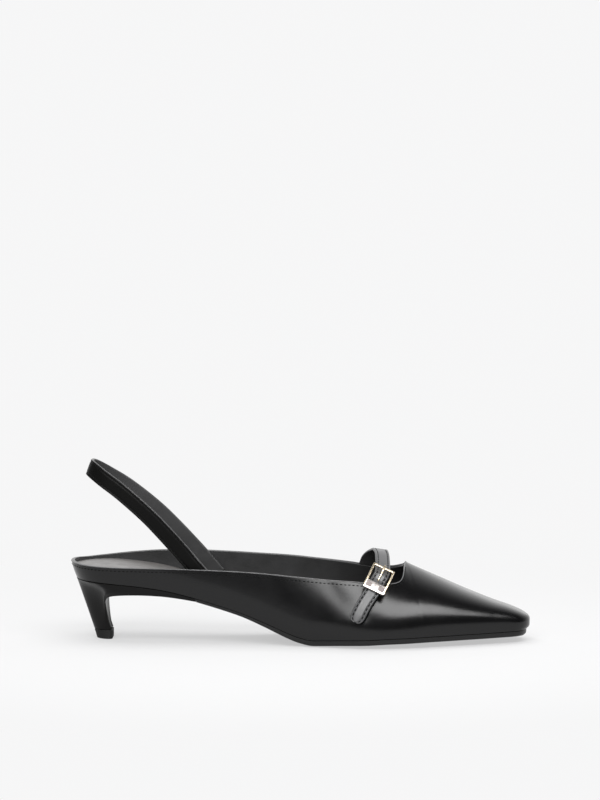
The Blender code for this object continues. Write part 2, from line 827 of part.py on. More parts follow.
def strap_line():
    """Middle line of the instep strap with its outward normals and widths, foot to tip."""
    frame = buckle_frame_matrix()
    reach = BUCKLE_LENGTH / 2
    foot_turn = 2 - rise_angle(STRAP_FOOT_STATION, inner_rim_rise(STRAP_FOOT_STATION)) / (math.pi / 2)
    points = [strap_foot(0.0)]
    normals = [wrap_normal(STRAP_FOOT_STATION, foot_turn)]
    widths = [STRAP_BASE_WIDTH]
    for row in STRAP.rows:
        station, turn, lift, narrow, level = row[1:]
        normal = wrap_normal(station, turn)
        points.append(wrap_point(station, turn) + normal * lift * STRAP_THICKNESS)
        normal.x *= 1 - level
        normal.normalize()
        normals.append(normal)
        widths.append(STRAP_BASE_WIDTH + (STRAP_WIDTH - STRAP_BASE_WIDTH) * narrow)
    for along in (-reach * BUCKLE_HOLD, 0.0, reach * BUCKLE_HOLD):
        points.append(frame @ Vector((along, 0, strap_level())))
        normals.append(frame.to_3x3() @ Vector((0, 0, 1)))
        widths.append(STRAP_WIDTH)
    for row in STRAP_TIP.rows:
        station, turn, lift = row[1:]
        normal = wrap_normal(station, turn)
        points.append(wrap_point(station, turn) + normal * lift * STRAP_THICKNESS)
        normals.append(normal)
        widths.append(STRAP_WIDTH)
    smooth_widths = [w.x for w in curve_through([Vector((w, 0, 0)) for w in widths], STRAP_STEPS)]
    count = len(points) - 1
    for i in range(len(smooth_widths)):
        end = max(0.0, 1 - (count - i / STRAP_STEPS) / TIP_SHARE)
        smooth_widths[i] *= math.sqrt(max(0.0, 1 - TIP_ROUNDING * end * end))
    return curve_through(points, STRAP_STEPS), curve_through(normals, STRAP_STEPS), smooth_widths


def make_instep_strap(collection, cutters):
    path, normals, widths = strap_line()
    rings = band_rings(path, normals, widths, STRAP_THICKNESS)
    wide = STRAP_BASE_WIDTH / 2
    thick = STRAP_THICKNESS / 2
    foot = [
        strap_foot(across) + normals[0] * out
        for across, out in (
            (STRAP_EDGE - wide, thick), (wide - STRAP_EDGE, thick),
            (wide, thick - STRAP_EDGE), (wide, STRAP_EDGE - thick),
            (wide - STRAP_EDGE, -thick), (STRAP_EDGE - wide, -thick),
            (-wide, STRAP_EDGE - thick), (-wide, thick - STRAP_EDGE),
        )
    ]
    turned = [place - square for place, square in zip(foot, rings[0])]
    for i in range(FOOT_BLEND * STRAP_STEPS):
        share = 1 - i / (FOOT_BLEND * STRAP_STEPS)
        rings[i] = [point + shift * share for point, shift in zip(rings[i], turned)]
    strap = make_band("instep_strap", rings, collection)
    hole = cylinder("prong_hole", PRONG_HOLE, 4 * STRAP_THICKNESS, cutters)
    hole.matrix_world = buckle_frame_matrix() @ Matrix.Translation((HINGE_PLACE, 0, strap_level()))
    combine(strap, hole, "DIFFERENCE")
    return strap


def cylinder(name, diameter, length, collection):
    """Round cutter along its own Z."""
    bm = bmesh.new()
    bmesh.ops.create_cone(
        bm, cap_ends=True, segments=ROUND_STEPS, radius1=diameter / 2, radius2=diameter / 2, depth=length)
    mesh = bpy.data.meshes.new(name)
    bm.to_mesh(mesh)
    bm.free()
    made = bpy.data.objects.new(name, mesh)
    collection.objects.link(made)
    hide_helper(made)
    return made


def hide_helper(made):
    made.hide_render = True
    made.display_type = "WIRE"


def combine(target, other, operation):
    step = target.modifiers.new(other.name, "BOOLEAN")
    step.operation = operation
    step.solver = "EXACT"
    step.object = other


def curve_mesh(name, data, collection):
    """Turns a curve into a welded mesh object."""
    holder = bpy.data.objects.new(name + "_curve", data)
    collection.objects.link(holder)
    bpy.context.view_layer.update()
    evaluated = holder.evaluated_get(bpy.context.evaluated_depsgraph_get())
    mesh = bpy.data.meshes.new_from_object(evaluated)
    bpy.data.objects.remove(holder)
    bpy.data.curves.remove(data)
    bm = bmesh.new()
    bm.from_mesh(mesh)
    bmesh.ops.remove_doubles(bm, verts=bm.verts, dist=1e-6)
    bm.to_mesh(mesh)
    bm.free()
    mesh.name = name
    made = bpy.data.objects.new(name, mesh)
    collection.objects.link(made)
    return made


def tube(name, points, radius, collection):
    """Round wire through points."""
    data = bpy.data.curves.new(name, "CURVE")
    data.dimensions = "3D"
    data.bevel_depth = radius
    data.bevel_resolution = WIRE_STEPS
    data.use_fill_caps = True
    spline = data.splines.new("POLY")
    spline.points.add(len(points) - 1)
    for point, place in zip(spline.points, points):
        point.co = (*place, 1)
    return curve_mesh(name, data, collection)


def plate(name, outlines, thickness, collection):
    """Flat outline with its window, extruded to a thickness, its edges eased."""
    data = bpy.data.curves.new(name, "CURVE")
    data.dimensions = "2D"
    data.fill_mode = "BOTH"
    data.bevel_depth = METAL_EDGE
    data.bevel_resolution = 0
    data.offset = -METAL_EDGE
    data.extrude = thickness / 2 - METAL_EDGE
    for x0, x1, half in outlines:
        spline = data.splines.new("POLY")
        spline.points.add(3)
        corners = ((x0, -half), (x1, -half), (x1, half), (x0, half))
        for point, (x, y) in zip(spline.points, corners):
            point.co = (x, y, 0, 1)
        spline.use_cyclic_u = True
    return curve_mesh(name, data, collection)


def make_buckle_frame(collection, cutters):
    """Top bar, rails and keeper plate in one, with the hinge bar and the keeper's back slung below."""
    frame = buckle_frame_matrix()
    reach = BUCKLE_LENGTH / 2
    half = BUCKLE_WIDTH / 2
    outlines = (
        (-reach, reach, half),
        (-reach + BUCKLE_METAL, reach - KEEPER_LENGTH, half - BUCKLE_METAL),
    )
    body = plate("buckle_frame", outlines, BUCKLE_METAL, collection)
    body.matrix_world = frame @ Matrix.Translation((0, 0, metal_level() + BUCKLE_METAL / 2))
    side = half - BUCKLE_METAL / 2
    top = metal_level() + BUCKLE_METAL / 2
    for name, place, level in (
        ("hinge_bar", HINGE_PLACE, hinge_level()),
        ("keeper_back", reach - KEEPER_LENGTH / 2, strap_level() - STRAP_THICKNESS / 2 - GAP
         - HINGE_DIAMETER / 2),
    ):
        path = ((place, -side, top), (place, -side, level), (place, side, level), (place, side, top))
        bar = tube(name, path, HINGE_DIAMETER / 2, cutters)
        bar.matrix_world = frame
        hide_helper(bar)
        combine(body, bar, "UNION")
    body.data.materials.append(material("gold"))
    return body


def make_buckle_prong(collection):
    """Metal tongue: up through the strap's hole and forward to rest on the top bar."""
    frame = buckle_frame_matrix()
    radius = PRONG_DIAMETER / 2
    rest = metal_level() + BUCKLE_METAL + GAP + radius
    low = metal_level() + radius
    reach = BUCKLE_LENGTH / 2
    points = [
        Vector((HINGE_PLACE, 0, tab_top() + GAP)),
        Vector((HINGE_PLACE, 0, low - radius)),
        Vector((HINGE_PLACE - 3 * PRONG_BEND * radius, 0, low + PRONG_END * radius)),
        Vector((-reach * PRONG_BEND, 0, low + (rest - low) * PRONG_BEND)),
        Vector((-reach + PRONG_FLAT * BUCKLE_METAL, 0, rest)),
        Vector((-reach - PRONG_END * BUCKLE_METAL, 0, rest)),
    ]
    prong = tube("buckle_prong", points, radius, collection)
    prong.matrix_world = frame
    prong.data.materials.append(material("gold"))
    return prong


def make_buckle_tab(collection, cutters):
    """Leather loop that lies on the quarter under the strap and wraps the hinge bar."""
    frame = buckle_frame_matrix()
    across = frame.to_3x3() @ Vector((0, TAB_WIDTH / 2, 0))
    aim = (wrap_point(BUCKLE_AIM_STATION, BUCKLE_AIM_ROUND) - frame.translation).length
    depth = tab_top() - GAP
    flat = TAB_THICKNESS / depth
    rings = []
    for walk, place, low, high in TAB.rows:
        along = HINGE_PLACE + place * hinge_level() if walk < TAB_FLAT else TAB_LENGTH * place
        share = along / aim
        station = BUCKLE_STATION + (BUCKLE_AIM_STATION - BUCKLE_STATION) * share
        turn = BUCKLE_ROUND + (BUCKLE_AIM_ROUND - BUCKLE_ROUND) * share
        surface = wrap_point(station, turn)
        out = wrap_normal(station, turn)
        top = high if walk < TAB_FLAT else flat
        bottom_point = surface + out * (GAP + depth * low)
        top_point = surface + out * (GAP + depth * top)
        rings.append([
            bottom_point - across, bottom_point + across, top_point + across, top_point - across])
    tab = make_band("buckle_tab", rings, collection)
    hole = cylinder("hinge_hole", HINGE_DIAMETER + 2 * GAP, 2 * TAB_WIDTH, cutters)
    turn_flat = Matrix.Rotation(math.pi / 2, 4, "X")
    hole.matrix_world = frame @ Matrix.Translation((HINGE_PLACE, 0, hinge_level())) @ turn_flat
    combine(tab, hole, "DIFFERENCE")
    return tab


def centre_on_floor(collections, nodes):
    """Puts the middle of the whole shoe's plan over the origin, cutters moving with the pieces."""
    bpy.context.view_layer.update()
    depsgraph = bpy.context.evaluated_depsgraph_get()
    places = []
    for node in nodes:
        evaluated = node.evaluated_get(depsgraph)
        places += [node.matrix_world @ v.co for v in evaluated.data.vertices]
    middle = [(min(p[i] for p in places) + max(p[i] for p in places)) / 2 for i in range(2)]
    for collection in collections:
        for made in collection.objects:
            made.location.x -= middle[0]
            made.location.y -= middle[1]


def main():
    for old in list(bpy.data.objects):
        bpy.data.objects.remove(old)
    collection = bpy.data.collections.new("slingback_pump")
    cutters = bpy.data.collections.new("cutters")
    for made in (collection, cutters):
        bpy.context.scene.collection.children.link(made)
    make_upper(collection)
    make_outsole(collection)
    make_insole(collection)
    make_heel_block(collection)
    make_top_piece(collection)
    make_sling(collection)
    make_instep_strap(collection, cutters)
    make_buckle_tab(collection, cutters)
    make_buckle_frame(collection, cutters)
    make_buckle_prong(collection)
    centre_on_floor((collection, cutters), collection.objects)


main()
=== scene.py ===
"""Looks of the slingback pump: fine leather surfaces, stitches, polished buckle, floor, light and camera.

The fixed frame gives the solids. The last's own function is repeated here at a finer mesh, so every
leather piece keeps the form of the solid that it stands for.
"""

import json
import math

import bmesh
import bpy
from mathutils import Matrix, Vector

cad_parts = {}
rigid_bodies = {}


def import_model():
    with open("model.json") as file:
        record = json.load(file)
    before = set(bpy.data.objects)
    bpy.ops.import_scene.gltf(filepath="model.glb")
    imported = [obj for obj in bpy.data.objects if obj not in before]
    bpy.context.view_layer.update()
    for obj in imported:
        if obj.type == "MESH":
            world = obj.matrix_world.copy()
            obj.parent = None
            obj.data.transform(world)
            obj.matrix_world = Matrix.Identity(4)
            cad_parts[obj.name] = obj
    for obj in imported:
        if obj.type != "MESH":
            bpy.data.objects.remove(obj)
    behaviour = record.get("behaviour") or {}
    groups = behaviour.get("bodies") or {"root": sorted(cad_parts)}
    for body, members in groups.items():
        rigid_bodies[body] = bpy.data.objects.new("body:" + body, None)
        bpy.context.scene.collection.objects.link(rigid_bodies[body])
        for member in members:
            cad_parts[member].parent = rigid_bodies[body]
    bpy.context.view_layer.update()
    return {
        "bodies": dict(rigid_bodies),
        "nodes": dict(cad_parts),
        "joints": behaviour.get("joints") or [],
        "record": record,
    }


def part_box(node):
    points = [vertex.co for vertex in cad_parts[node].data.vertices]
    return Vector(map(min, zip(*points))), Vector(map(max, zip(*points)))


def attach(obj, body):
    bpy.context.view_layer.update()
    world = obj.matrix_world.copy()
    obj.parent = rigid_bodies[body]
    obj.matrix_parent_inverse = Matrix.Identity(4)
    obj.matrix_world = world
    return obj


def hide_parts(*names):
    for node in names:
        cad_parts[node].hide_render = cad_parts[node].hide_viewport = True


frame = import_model()

# Driving sizes of the last, in metres
LENGTH = 0.256
BALL_WIDTH = 0.078
SEAT_HEIGHT = 0.0345
INSTEP_HEIGHT = 0.0437
TOE_SPRING = 0.0031
SOLE_CROWN = 0.0016
HEEL_ROUND = 0.028
TOE_ROUND = 0.008
BACK_LEAN = 0.0031
TOE_LEAN = 0.0016
TOE_LEAN_POWER = 4
BULGE = 0.0014
BULGE_RISE = 0.012
HEEL_POWER = 2.2
TOE_POWER = 2.3
NORMAL_STEP = 0.004

# Thicknesses and the clearance between neighbouring pieces
GAP = 0.0003
WALL = 0.0018
SOLE_THICKNESS = 0.0030
SOLE_INSET = 0.0003
SOLE_EDGE_SHARE = 0.47
WAIST_END = 0.36
WAIST_FADE = 0.14
CROWN_SHARES = (0.2, 0.5, 0.8)
CUSHION = 0.0086
SOCK_CLEARANCE = 0.0006

# Heel
HEEL_TIP_LENGTH = 0.0102
HEEL_TIP_WIDTH = 0.0135
HEEL_TIP_BACK = 0.0128
HEEL_BREAST_HOLLOW = 0.0014
BREAST_START = 0.72
TIP_TURN = 1.3
TIP_POWER = 0.8
TIP_FLAT = 0.55
TIP_TAPER = 0.22
TIP_TAPER_START = 0.6
TOP_PIECE_HEIGHT = 0.0050
TOP_PIECE_PROUD = 0.0003
TOP_PIECE_RAKE = 0.30
TONGUE_LENGTH = 0.071
TONGUE_THICKNESS = 0.0014
TONGUE_ROOT = 0.0062

# Straps
SLING_HEIGHT = 0.0961
SLING_BACK = 0.0106
SLING_WIDTH = 0.0092
SLING_THICKNESS = 0.0018
SLING_TILT = 0.37
SLING_TILT_POWER = 6
SLING_CLEARANCE = 0.0008
STRAP_WIDTH = 0.0084
STRAP_BASE_WIDTH = 0.0145
STRAP_THICKNESS = 0.0016
STRAP_FOOT_STATION = 0.6530
STRAP_FOOT_GAP = 0.0004
FOOT_BLEND = 2
TIP_SHARE = 0.85
TIP_ROUNDING = 0.96

# Buckle, measured in its own frame: along the strap, across it, and out from the upper
BUCKLE_LENGTH = 0.0172
BUCKLE_WIDTH = 0.0130
BUCKLE_METAL = 0.0012
KEEPER_LENGTH = 0.0054
HINGE_PLACE = 0.0006
HINGE_DIAMETER = 0.0010
TAB_WIDTH = 0.0080
TAB_THICKNESS = 0.0010
TAB_WALL = 0.0004
TAB_LENGTH = 0.0130
PRONG_DIAMETER = 0.0011
PRONG_BEND = 0.45
PRONG_END = 0.2
PRONG_FLAT = 2.4
BUCKLE_HOLD = 0.75

# Mesh fineness: columns along each zone of the upper, and rows up its wall
HEEL_COLUMNS = 26
QUARTER_COLUMNS = 64
THROAT_COLUMNS = 40
VAMP_COLUMNS = 60
TOE_COLUMNS = 26
WALL_ROWS = 44
HEEL_ROWS = 48
STRAP_STEPS = 14

LATERAL = -1
MEDIAL = 1


class Table:
    """Rows of shares under named columns, read between rows by a curve that never overshoots."""

    def __init__(self, columns, rows):
        self.columns = columns
        self.rows = rows

    def at(self, name, place):
        column = self.columns.index(name)
        places = [row[0] for row in self.rows]
        values = [row[column] for row in self.rows]
        place = min(max(place, places[0]), places[-1])
        k = max(i for i in range(len(places) - 1) if places[i] <= place)
        step = places[k + 1] - places[k]
        t = (place - places[k]) / step
        slopes = [self.slope(places, values, i) for i in (k, k + 1)]
        rest = 1 - t
        return (
            values[k] * (1 + 2 * t) * rest * rest
            + values[k + 1] * (3 - 2 * t) * t * t
            + step * t * rest * (slopes[0] * rest - slopes[1] * t)
        )

    @staticmethod
    def slope(places, values, i):
        if i in (0, len(places) - 1):
            j = min(i, len(places) - 2)
            return (values[j + 1] - values[j]) / (places[j + 1] - places[j])
        before = (values[i] - values[i - 1]) / (places[i] - places[i - 1])
        after = (values[i + 1] - values[i]) / (places[i + 1] - places[i])
        if before * after <= 0:
            return 0.0
        return 2 * before * after / (before + after)


# Plan of the feather edge: shares of BALL_WIDTH, out from the line between heel and toe
PLAN = Table(
    ("station", "lateral", "medial", "ridge"),
    (
        (0.00, 0.300, 0.300, 0.00),
        (0.11, 0.312, 0.308, 0.00),
        (0.25, 0.298, 0.272, 0.00),
        (0.38, 0.312, 0.248, 0.01),
        (0.50, 0.385, 0.300, 0.02),
        (0.60, 0.465, 0.405, 0.03),
        (0.66, 0.494, 0.470, 0.03),
        (0.72, 0.478, 0.494, 0.03),
        (0.80, 0.392, 0.440, 0.03),
        (0.88, 0.284, 0.338, 0.03),
        (0.94, 0.198, 0.252, 0.03),
        (1.00, 0.110, 0.170, 0.03),
    ),
)

# Height of the feather edge over the floor: arch is a share of the seat's rise, spring of TOE_SPRING,
# crown of SOLE_CROWN: how far the sole's edges stay above the middle that it stands on
FEATHER = Table(
    ("station", "arch", "spring", "crown"),
    (
        (0.000, 1.000, 0.00, 0.00),
        (0.070, 0.975, 0.00, 0.00),
        (0.137, 0.930, 0.00, 0.00),
        (0.203, 0.855, 0.00, 0.00),
        (0.256, 0.755, 0.00, 0.00),
        (0.293, 0.670, 0.00, 0.00),
        (0.342, 0.550, 0.00, 0.00),
        (0.377, 0.455, 0.00, 0.00),
        (0.412, 0.345, 0.00, 0.00),
        (0.447, 0.230, 0.00, 0.00),
        (0.475, 0.135, 0.00, 0.02),
        (0.504, 0.050, 0.00, 0.10),
        (0.535, 0.000, 0.00, 0.30),
        (0.600, 0.000, 0.00, 0.80),
        (0.640, 0.000, 0.05, 0.95),
        (0.700, 0.000, 0.28, 1.00),
        (0.760, 0.000, 0.44, 0.95),
        (0.850, 0.000, 0.62, 0.80),
        (0.930, 0.000, 0.78, 0.60),
        (1.000, 0.000, 1.00, 0.40),
    ),
)

# Section of the last: ridge is a share of INSTEP_HEIGHT, square the power of its rounded shape
SECTION = Table(
    ("station", "ridge", "square"),
    (
        (0.000, 2.050, 2.1),
        (0.450, 2.030, 1.95),
        (0.550, 1.710, 1.85),
        (0.600, 1.475, 1.75),
        (0.640, 1.290, 1.7),
        (0.680, 1.140, 1.7),
        (0.727, 1.002, 1.8),
        (0.797, 0.814, 2.15),
        (0.866, 0.636, 2.5),
        (0.922, 0.508, 2.9),
        (0.952, 0.450, 3.1),
        (0.978, 0.390, 3.2),
        (0.991, 0.358, 3.2),
        (1.000, 0.338, 3.2),
    ),
)

# Rim of the quarters: heights as shares of INSTEP_HEIGHT
QUARTER = Table(
    ("station", "lateral", "medial"),
    (
        (0.000, 1.006, 1.006),
        (0.030, 0.990, 0.990),
        (0.066, 0.984, 1.000),
        (0.105, 0.979, 1.022),
        (0.137, 0.975, 1.042),
        (0.203, 0.966, 1.071),
        (0.270, 0.956, 1.078),
        (0.336, 0.944, 1.070),
        (0.440, 0.912, 1.037),
        (0.486, 0.893, 1.014),
        (0.540, 0.870, 0.976),
        (0.600, 0.845, 0.930),
    ),
)

# Rim round the U of the throat, in shares of the last's own height; foot is the station where each
# column of the wall stands
THROAT = Table(
    ("turn", "top", "foot", "lateral", "medial"),
    (
        (0.00, 0.6000, 0.600, 0.540, 0.602),
        (0.20, 0.6400, 0.643, 0.604, 0.664),
        (0.38, 0.6720, 0.683, 0.655, 0.728),
        (0.52, 0.6980, 0.715, 0.700, 0.792),
        (0.66, 0.7140, 0.738, 0.745, 0.860),
        (0.78, 0.7235, 0.757, 0.803, 0.918),
        (0.90, 0.7275, 0.774, 0.895, 0.972),
        (1.00, 0.7285, 0.790, 1.000, 1.000),
    ),
)

# Sock over its board and heel pad: thickness as a share of CUSHION
SOCK = Table(
    ("station", "pad"),
    (
        (0.00, 0.92),
        (0.10, 1.00),
        (0.17, 1.00),
        (0.24, 0.93),
        (0.30, 0.72),
        (0.38, 0.44),
        (0.46, 0.28),
        (0.55, 0.21),
        (0.65, 0.18),
        (1.00, 0.18),
    ),
)

# Heel block: rise up from the tip, spread out to the seat's sides, run forward to the tongue's end
HEEL = Table(
    ("level", "rise", "spread", "run"),
    (
        (0.00, 0.000, 0.00, 0.000),
        (0.15, 0.190, 0.06, -0.027),
        (0.30, 0.400, 0.16, -0.042),
        (0.42, 0.600, 0.30, -0.054),
        (0.52, 0.770, 0.48, -0.060),
        (0.61, 0.900, 0.68, -0.036),
        (0.69, 0.960, 0.84, 0.042),
        (0.77, 0.990, 0.94, 0.260),
        (0.83, 1.000, 0.98, 0.590),
        (0.91, 1.000, 1.00, 1.000),
        (1.00, 1.000, 1.00, 1.000),
    ),
)

# Sling: shares of the way from the back of the loop to where it leaves the quarter
SLING = Table(
    ("walk", "forward", "rise", "spread"),
    (
        (0.00, 0.000, 1.000, 0.00),
        (0.16, 0.030, 0.985, 0.33),
        (0.34, 0.150, 0.893, 0.63),
        (0.52, 0.345, 0.738, 0.83),
        (0.70, 0.600, 0.490, 0.95),
        (0.85, 0.800, 0.256, 0.99),
    ),
)

# Where the sling is sewn inside the quarters: stations of its middle, and shares of the way up the last
SLING_SEWN = Table(
    ("walk", "lateral", "medial", "rise"),
    (
        (0.0, 0.2484, 0.2637, 0.355),
        (0.5, 0.2715, 0.2875, 0.262),
        (1.0, 0.2949, 0.3117, 0.176),
    ),
)

# Instep strap: round is 0 at the lateral feather edge, 1 on the ridge and 2 at the medial one, lift
# is in strap thicknesses, and level is how far the strap lies flatter than the last slopes
STRAP = Table(
    ("walk", "station", "round", "lift", "narrow", "level"),
    (
        (0.08, 0.655, 1.410, -0.56, 0.25, 0.00),
        (0.16, 0.659, 1.345, -0.56, 0.62, 0.15),
        (0.26, 0.665, 1.260, -0.56, 0.90, 0.45),
        (0.38, 0.672, 1.130, -0.56, 1.00, 0.75),
        (0.50, 0.676, 0.980, -0.40, 1.00, 0.70),
        (0.62, 0.679, 0.800, 0.45, 1.00, 0.25),
    ),
)
STRAP_TIP = Table(
    ("walk", "station", "round", "lift"),
    (
        (0.00, 0.646, 0.292, 2.00),
        (0.50, 0.636, 0.218, 1.75),
        (1.00, 0.627, 0.152, 1.65),
    ),
)

BUCKLE_STATION = 0.6705
BUCKLE_ROUND = 0.484
BUCKLE_AIM_STATION = 0.6505
BUCKLE_AIM_ROUND = 0.304


def smooth_end(share, power):
    """Rises from 0 to 1 as a quarter of a rounded end."""
    share = min(max(share, 0.0), 1.0)
    return (1 - (1 - share) ** power) ** (1 / power)


def feather_height(station):
    floor_level = SOLE_THICKNESS + GAP
    arch = FEATHER.at("arch", station) * (SEAT_HEIGHT - floor_level)
    spring = FEATHER.at("spring", station) * TOE_SPRING
    return floor_level + arch + spring + sole_crown(station)


def sole_crown(station):
    """How far the edges of the sole stay above its middle."""
    return FEATHER.at("crown", station) * SOLE_CROWN


def ridge_height(station):
    return SECTION.at("ridge", station) * INSTEP_HEIGHT


def end_factor(station):
    """Narrows the plan to nothing at the round back of the heel and at the blunt toe."""
    heel = smooth_end(station * LENGTH / HEEL_ROUND, HEEL_POWER)
    toe = smooth_end((1 - station) * LENGTH / TOE_ROUND, TOE_POWER)
    return heel * toe


def last_point(station, side, angle, inset=0.0):
    """Point on the last, angle 0 at its feather edge and a quarter turn at its ridge.

    A positive inset lies inside the last, as the inner face of the wall does.
    """
    low = feather_height(station)
    high = ridge_height(station) - inset
    power = 2 / SECTION.at("square", station)
    up = math.sin(angle) ** power
    across = max(math.cos(angle), 0.0) ** power
    height = low + (high - low) * up
    swell = BULGE * math.sin(math.pi / 2 * min(1.0, (height - low) / BULGE_RISE))
    share = PLAN.at("lateral" if side == LATERAL else "medial", station)
    centre = PLAN.at("ridge", station) * BALL_WIDTH
    half = share * BALL_WIDTH - side * centre - BULGE + swell - inset
    y = centre + side * half * end_factor(station) * across
    x = inset + station * (LENGTH - 2 * inset) - LENGTH / 2
    cup = max(0.0, 1 - station * LENGTH / HEEL_ROUND)
    x += BACK_LEAN * cup * (1 - math.sin(math.pi / 2 * min(1.0, (height - low) / BULGE_RISE)))
    tip = max(0.0, 1 - (1 - station) * LENGTH / TOE_ROUND)
    x -= TOE_LEAN * tip ** 2 * (2 * up - 1) ** TOE_LEAN_POWER
    return Vector((x, y, height))


def feather_point(station, side, inset=0.0):
    return last_point(station, side, 0.0, inset)


def rise_angle(station, rise):
    """Section angle at which the last has risen by a share of its own height."""
    return math.asin(min(1.0, rise ** (SECTION.at("square", station) / 2)))


def wrap_point(station, turn):
    """Point on the last, turn 0 at the lateral feather edge, 1 on the ridge, 2 at the medial edge."""
    side = LATERAL if turn <= 1 else MEDIAL
    return last_point(station, side, (turn if turn <= 1 else 2 - turn) * math.pi / 2)


def wrap_normal(station, turn):
    """Outward normal of the last."""
    along = wrap_point(station + NORMAL_STEP, turn) - wrap_point(station - NORMAL_STEP, turn)
    around = wrap_point(station, turn + NORMAL_STEP) - wrap_point(station, turn - NORMAL_STEP)
    return along.cross(around).normalized()


def quarter_rise(station, side):
    """Share of the last's height at which the rim of a quarter stands."""
    low = feather_height(station)
    rim = QUARTER.at("lateral" if side == LATERAL else "medial", station) * INSTEP_HEIGHT
    return (rim - low) / (ridge_height(station) - low)


def wall_columns():
    """Columns of the upper's wall: foot station, top station, lateral rise and medial rise."""
    heel_end = HEEL_ROUND / LENGTH
    toe_start = 1 - TOE_ROUND / LENGTH
    throat_start = THROAT.at("top", 0.0)
    throat_end = THROAT.at("top", 1.0)
    foot_end = THROAT.at("foot", 1.0)
    columns = []
    for i in range(HEEL_COLUMNS):
        station = heel_end * (1 - math.cos(math.pi / 2 * i / HEEL_COLUMNS))
        columns.append((station, station, quarter_rise(station, LATERAL), quarter_rise(station, MEDIAL)))
    for i in range(QUARTER_COLUMNS):
        station = heel_end + (throat_start - heel_end) * i / QUARTER_COLUMNS
        columns.append((station, station, quarter_rise(station, LATERAL), quarter_rise(station, MEDIAL)))
    for i in range(THROAT_COLUMNS):
        names = ("foot", "top", "lateral", "medial")
        columns.append(tuple(THROAT.at(name, i / THROAT_COLUMNS) for name in names))
    for i in range(VAMP_COLUMNS):
        share = i / VAMP_COLUMNS
        foot = foot_end + (toe_start - foot_end) * share
        columns.append((foot, throat_end + (toe_start - throat_end) * share, 1.0, 1.0))
    for i in range(TOE_COLUMNS + 1):
        station = 1 - (1 - toe_start) * (1 - math.sin(math.pi / 2 * i / TOE_COLUMNS))
        columns.append((station, station, 1.0, 1.0))
    return columns


def loft(bm, rings, closed=True):
    """Skins quads between rings of points, and returns their vertices."""
    grid = [[bm.verts.new(point) for point in ring] for ring in rings]
    count = len(grid[0])
    for first, second in zip(grid, grid[1:]):
        for j in range(count if closed else count - 1):
            k = (j + 1) % count
            bm.faces.new((first[j], first[k], second[k], second[j]))
    return grid


def foot_stations(start=0.0):
    """Stations where the upper's columns stand, from start to the toe."""
    feet = [column[0] for column in wall_columns() if column[0] > start + 1e-4]
    return [start] + feet


def tip_point(share, side, proud=0.0):
    """Outline of the heel's tip in plan: share 0 is the middle of its round back, 1 its front corner."""
    angle = math.pi / 2 * min(1.0, share * TIP_TURN)
    half = HEEL_TIP_WIDTH / 2 * math.sin(angle) ** TIP_POWER
    reach = (1 - math.cos(angle)) * (1 - TIP_FLAT) + TIP_FLAT * share
    x = HEEL_TIP_BACK - LENGTH / 2 + (HEEL_TIP_LENGTH + proud) * reach
    front = max(0.0, share - TIP_TAPER_START) / (1 - TIP_TAPER_START)
    return Vector((x, side * half * (1 - TIP_TAPER * front ** 2), 0.0))


def smooth_step(share):
    share = min(max(share, 0.0), 1.0)
    return share * share * (3 - 2 * share)


def step_up(level):
    """0 until the block's last row, 1 at the seat itself."""
    return max(0.0, (level - 1 + 1 / HEEL_ROWS) * HEEL_ROWS)


def cap_ladder(bm, ring, count):
    """Closes a ring by rungs between its lateral and its medial points."""
    size = len(ring)
    for i in range(count - 1):
        bm.faces.new((ring[i], ring[i + 1], ring[size - 2 - i], ring[size - 1 - i]))
    bm.faces.new(ring[count - 1:size - count + 1])


def sole_thickness(station):
    """Thickness of the sole's edge: as thin as the heel's tongue in the waist, full at the ball."""
    waist = TONGUE_THICKNESS + GAP
    return waist + (SOLE_THICKNESS - waist) * smooth_step((station - WAIST_END) / WAIST_FADE)


def crowned_ring(station, edges):
    """Section of the sole or the sock: its edges, lateral and medial from top to bottom, and its middle.

    The middle lies lower than the edges, above as below.
    """
    lateral, medial = edges
    ring = []
    for first, last, edge in ((lateral[-1], medial[-1], lateral), (medial[0], lateral[0], medial[::-1])):
        sunk = [first.lerp(last, share) for share in CROWN_SHARES]
        for point in sunk:
            point.z -= sole_crown(station)
        ring += edge + sunk
    return ring


def sock_edge(station, side):
    """Upper edge of the sock, clear of the wall at its own height."""
    low = feather_height(station)
    rise = SOCK.at("pad", station) * CUSHION / (ridge_height(station) - low)
    edge = last_point(station, side, rise_angle(station, rise), WALL + SOCK_CLEARANCE)
    edge.x = min(edge.x, feather_point(station, side, WALL + SOCK_CLEARANCE).x)
    return edge


def curve_through(points, steps):
    """Smooth path through points, as a list of points."""
    path = []
    for i in range(len(points) - 1):
        p0 = points[max(i - 1, 0)]
        p1, p2 = points[i], points[i + 1]
        p3 = points[min(i + 2, len(points) - 1)]
        for j in range(steps):
            t = j / steps
            path.append(0.5 * (
                2 * p1 + (p2 - p0) * t
                + (2 * p0 - 5 * p1 + 4 * p2 - p3) * t * t
                + (3 * p1 - p0 - 3 * p2 + p3) * t ** 3
            ))
    path.append(points[-1])
    return path


def sling_points(side):
    """Middle of the sling on one side, from the back of the loop to its sewn end."""
    inset = WALL + SLING_CLEARANCE + SLING_THICKNESS / 2
    sewn = []
    for walk, lateral, medial, rise in SLING_SEWN.rows:
        station = lateral if side == LATERAL else medial
        sewn.append(last_point(station, side, rise_angle(station, rise), inset))
    leave = sewn[0]
    back = SLING_BACK - LENGTH / 2
    points = []
    for row in SLING.rows:
        x = back + (leave.x - back) * SLING.at("forward", row[0])
        z = leave.z + (SLING_HEIGHT - leave.z) * SLING.at("rise", row[0])
        points.append(Vector((x, leave.y * SLING.at("spread", row[0]), z)))
    return points + sewn


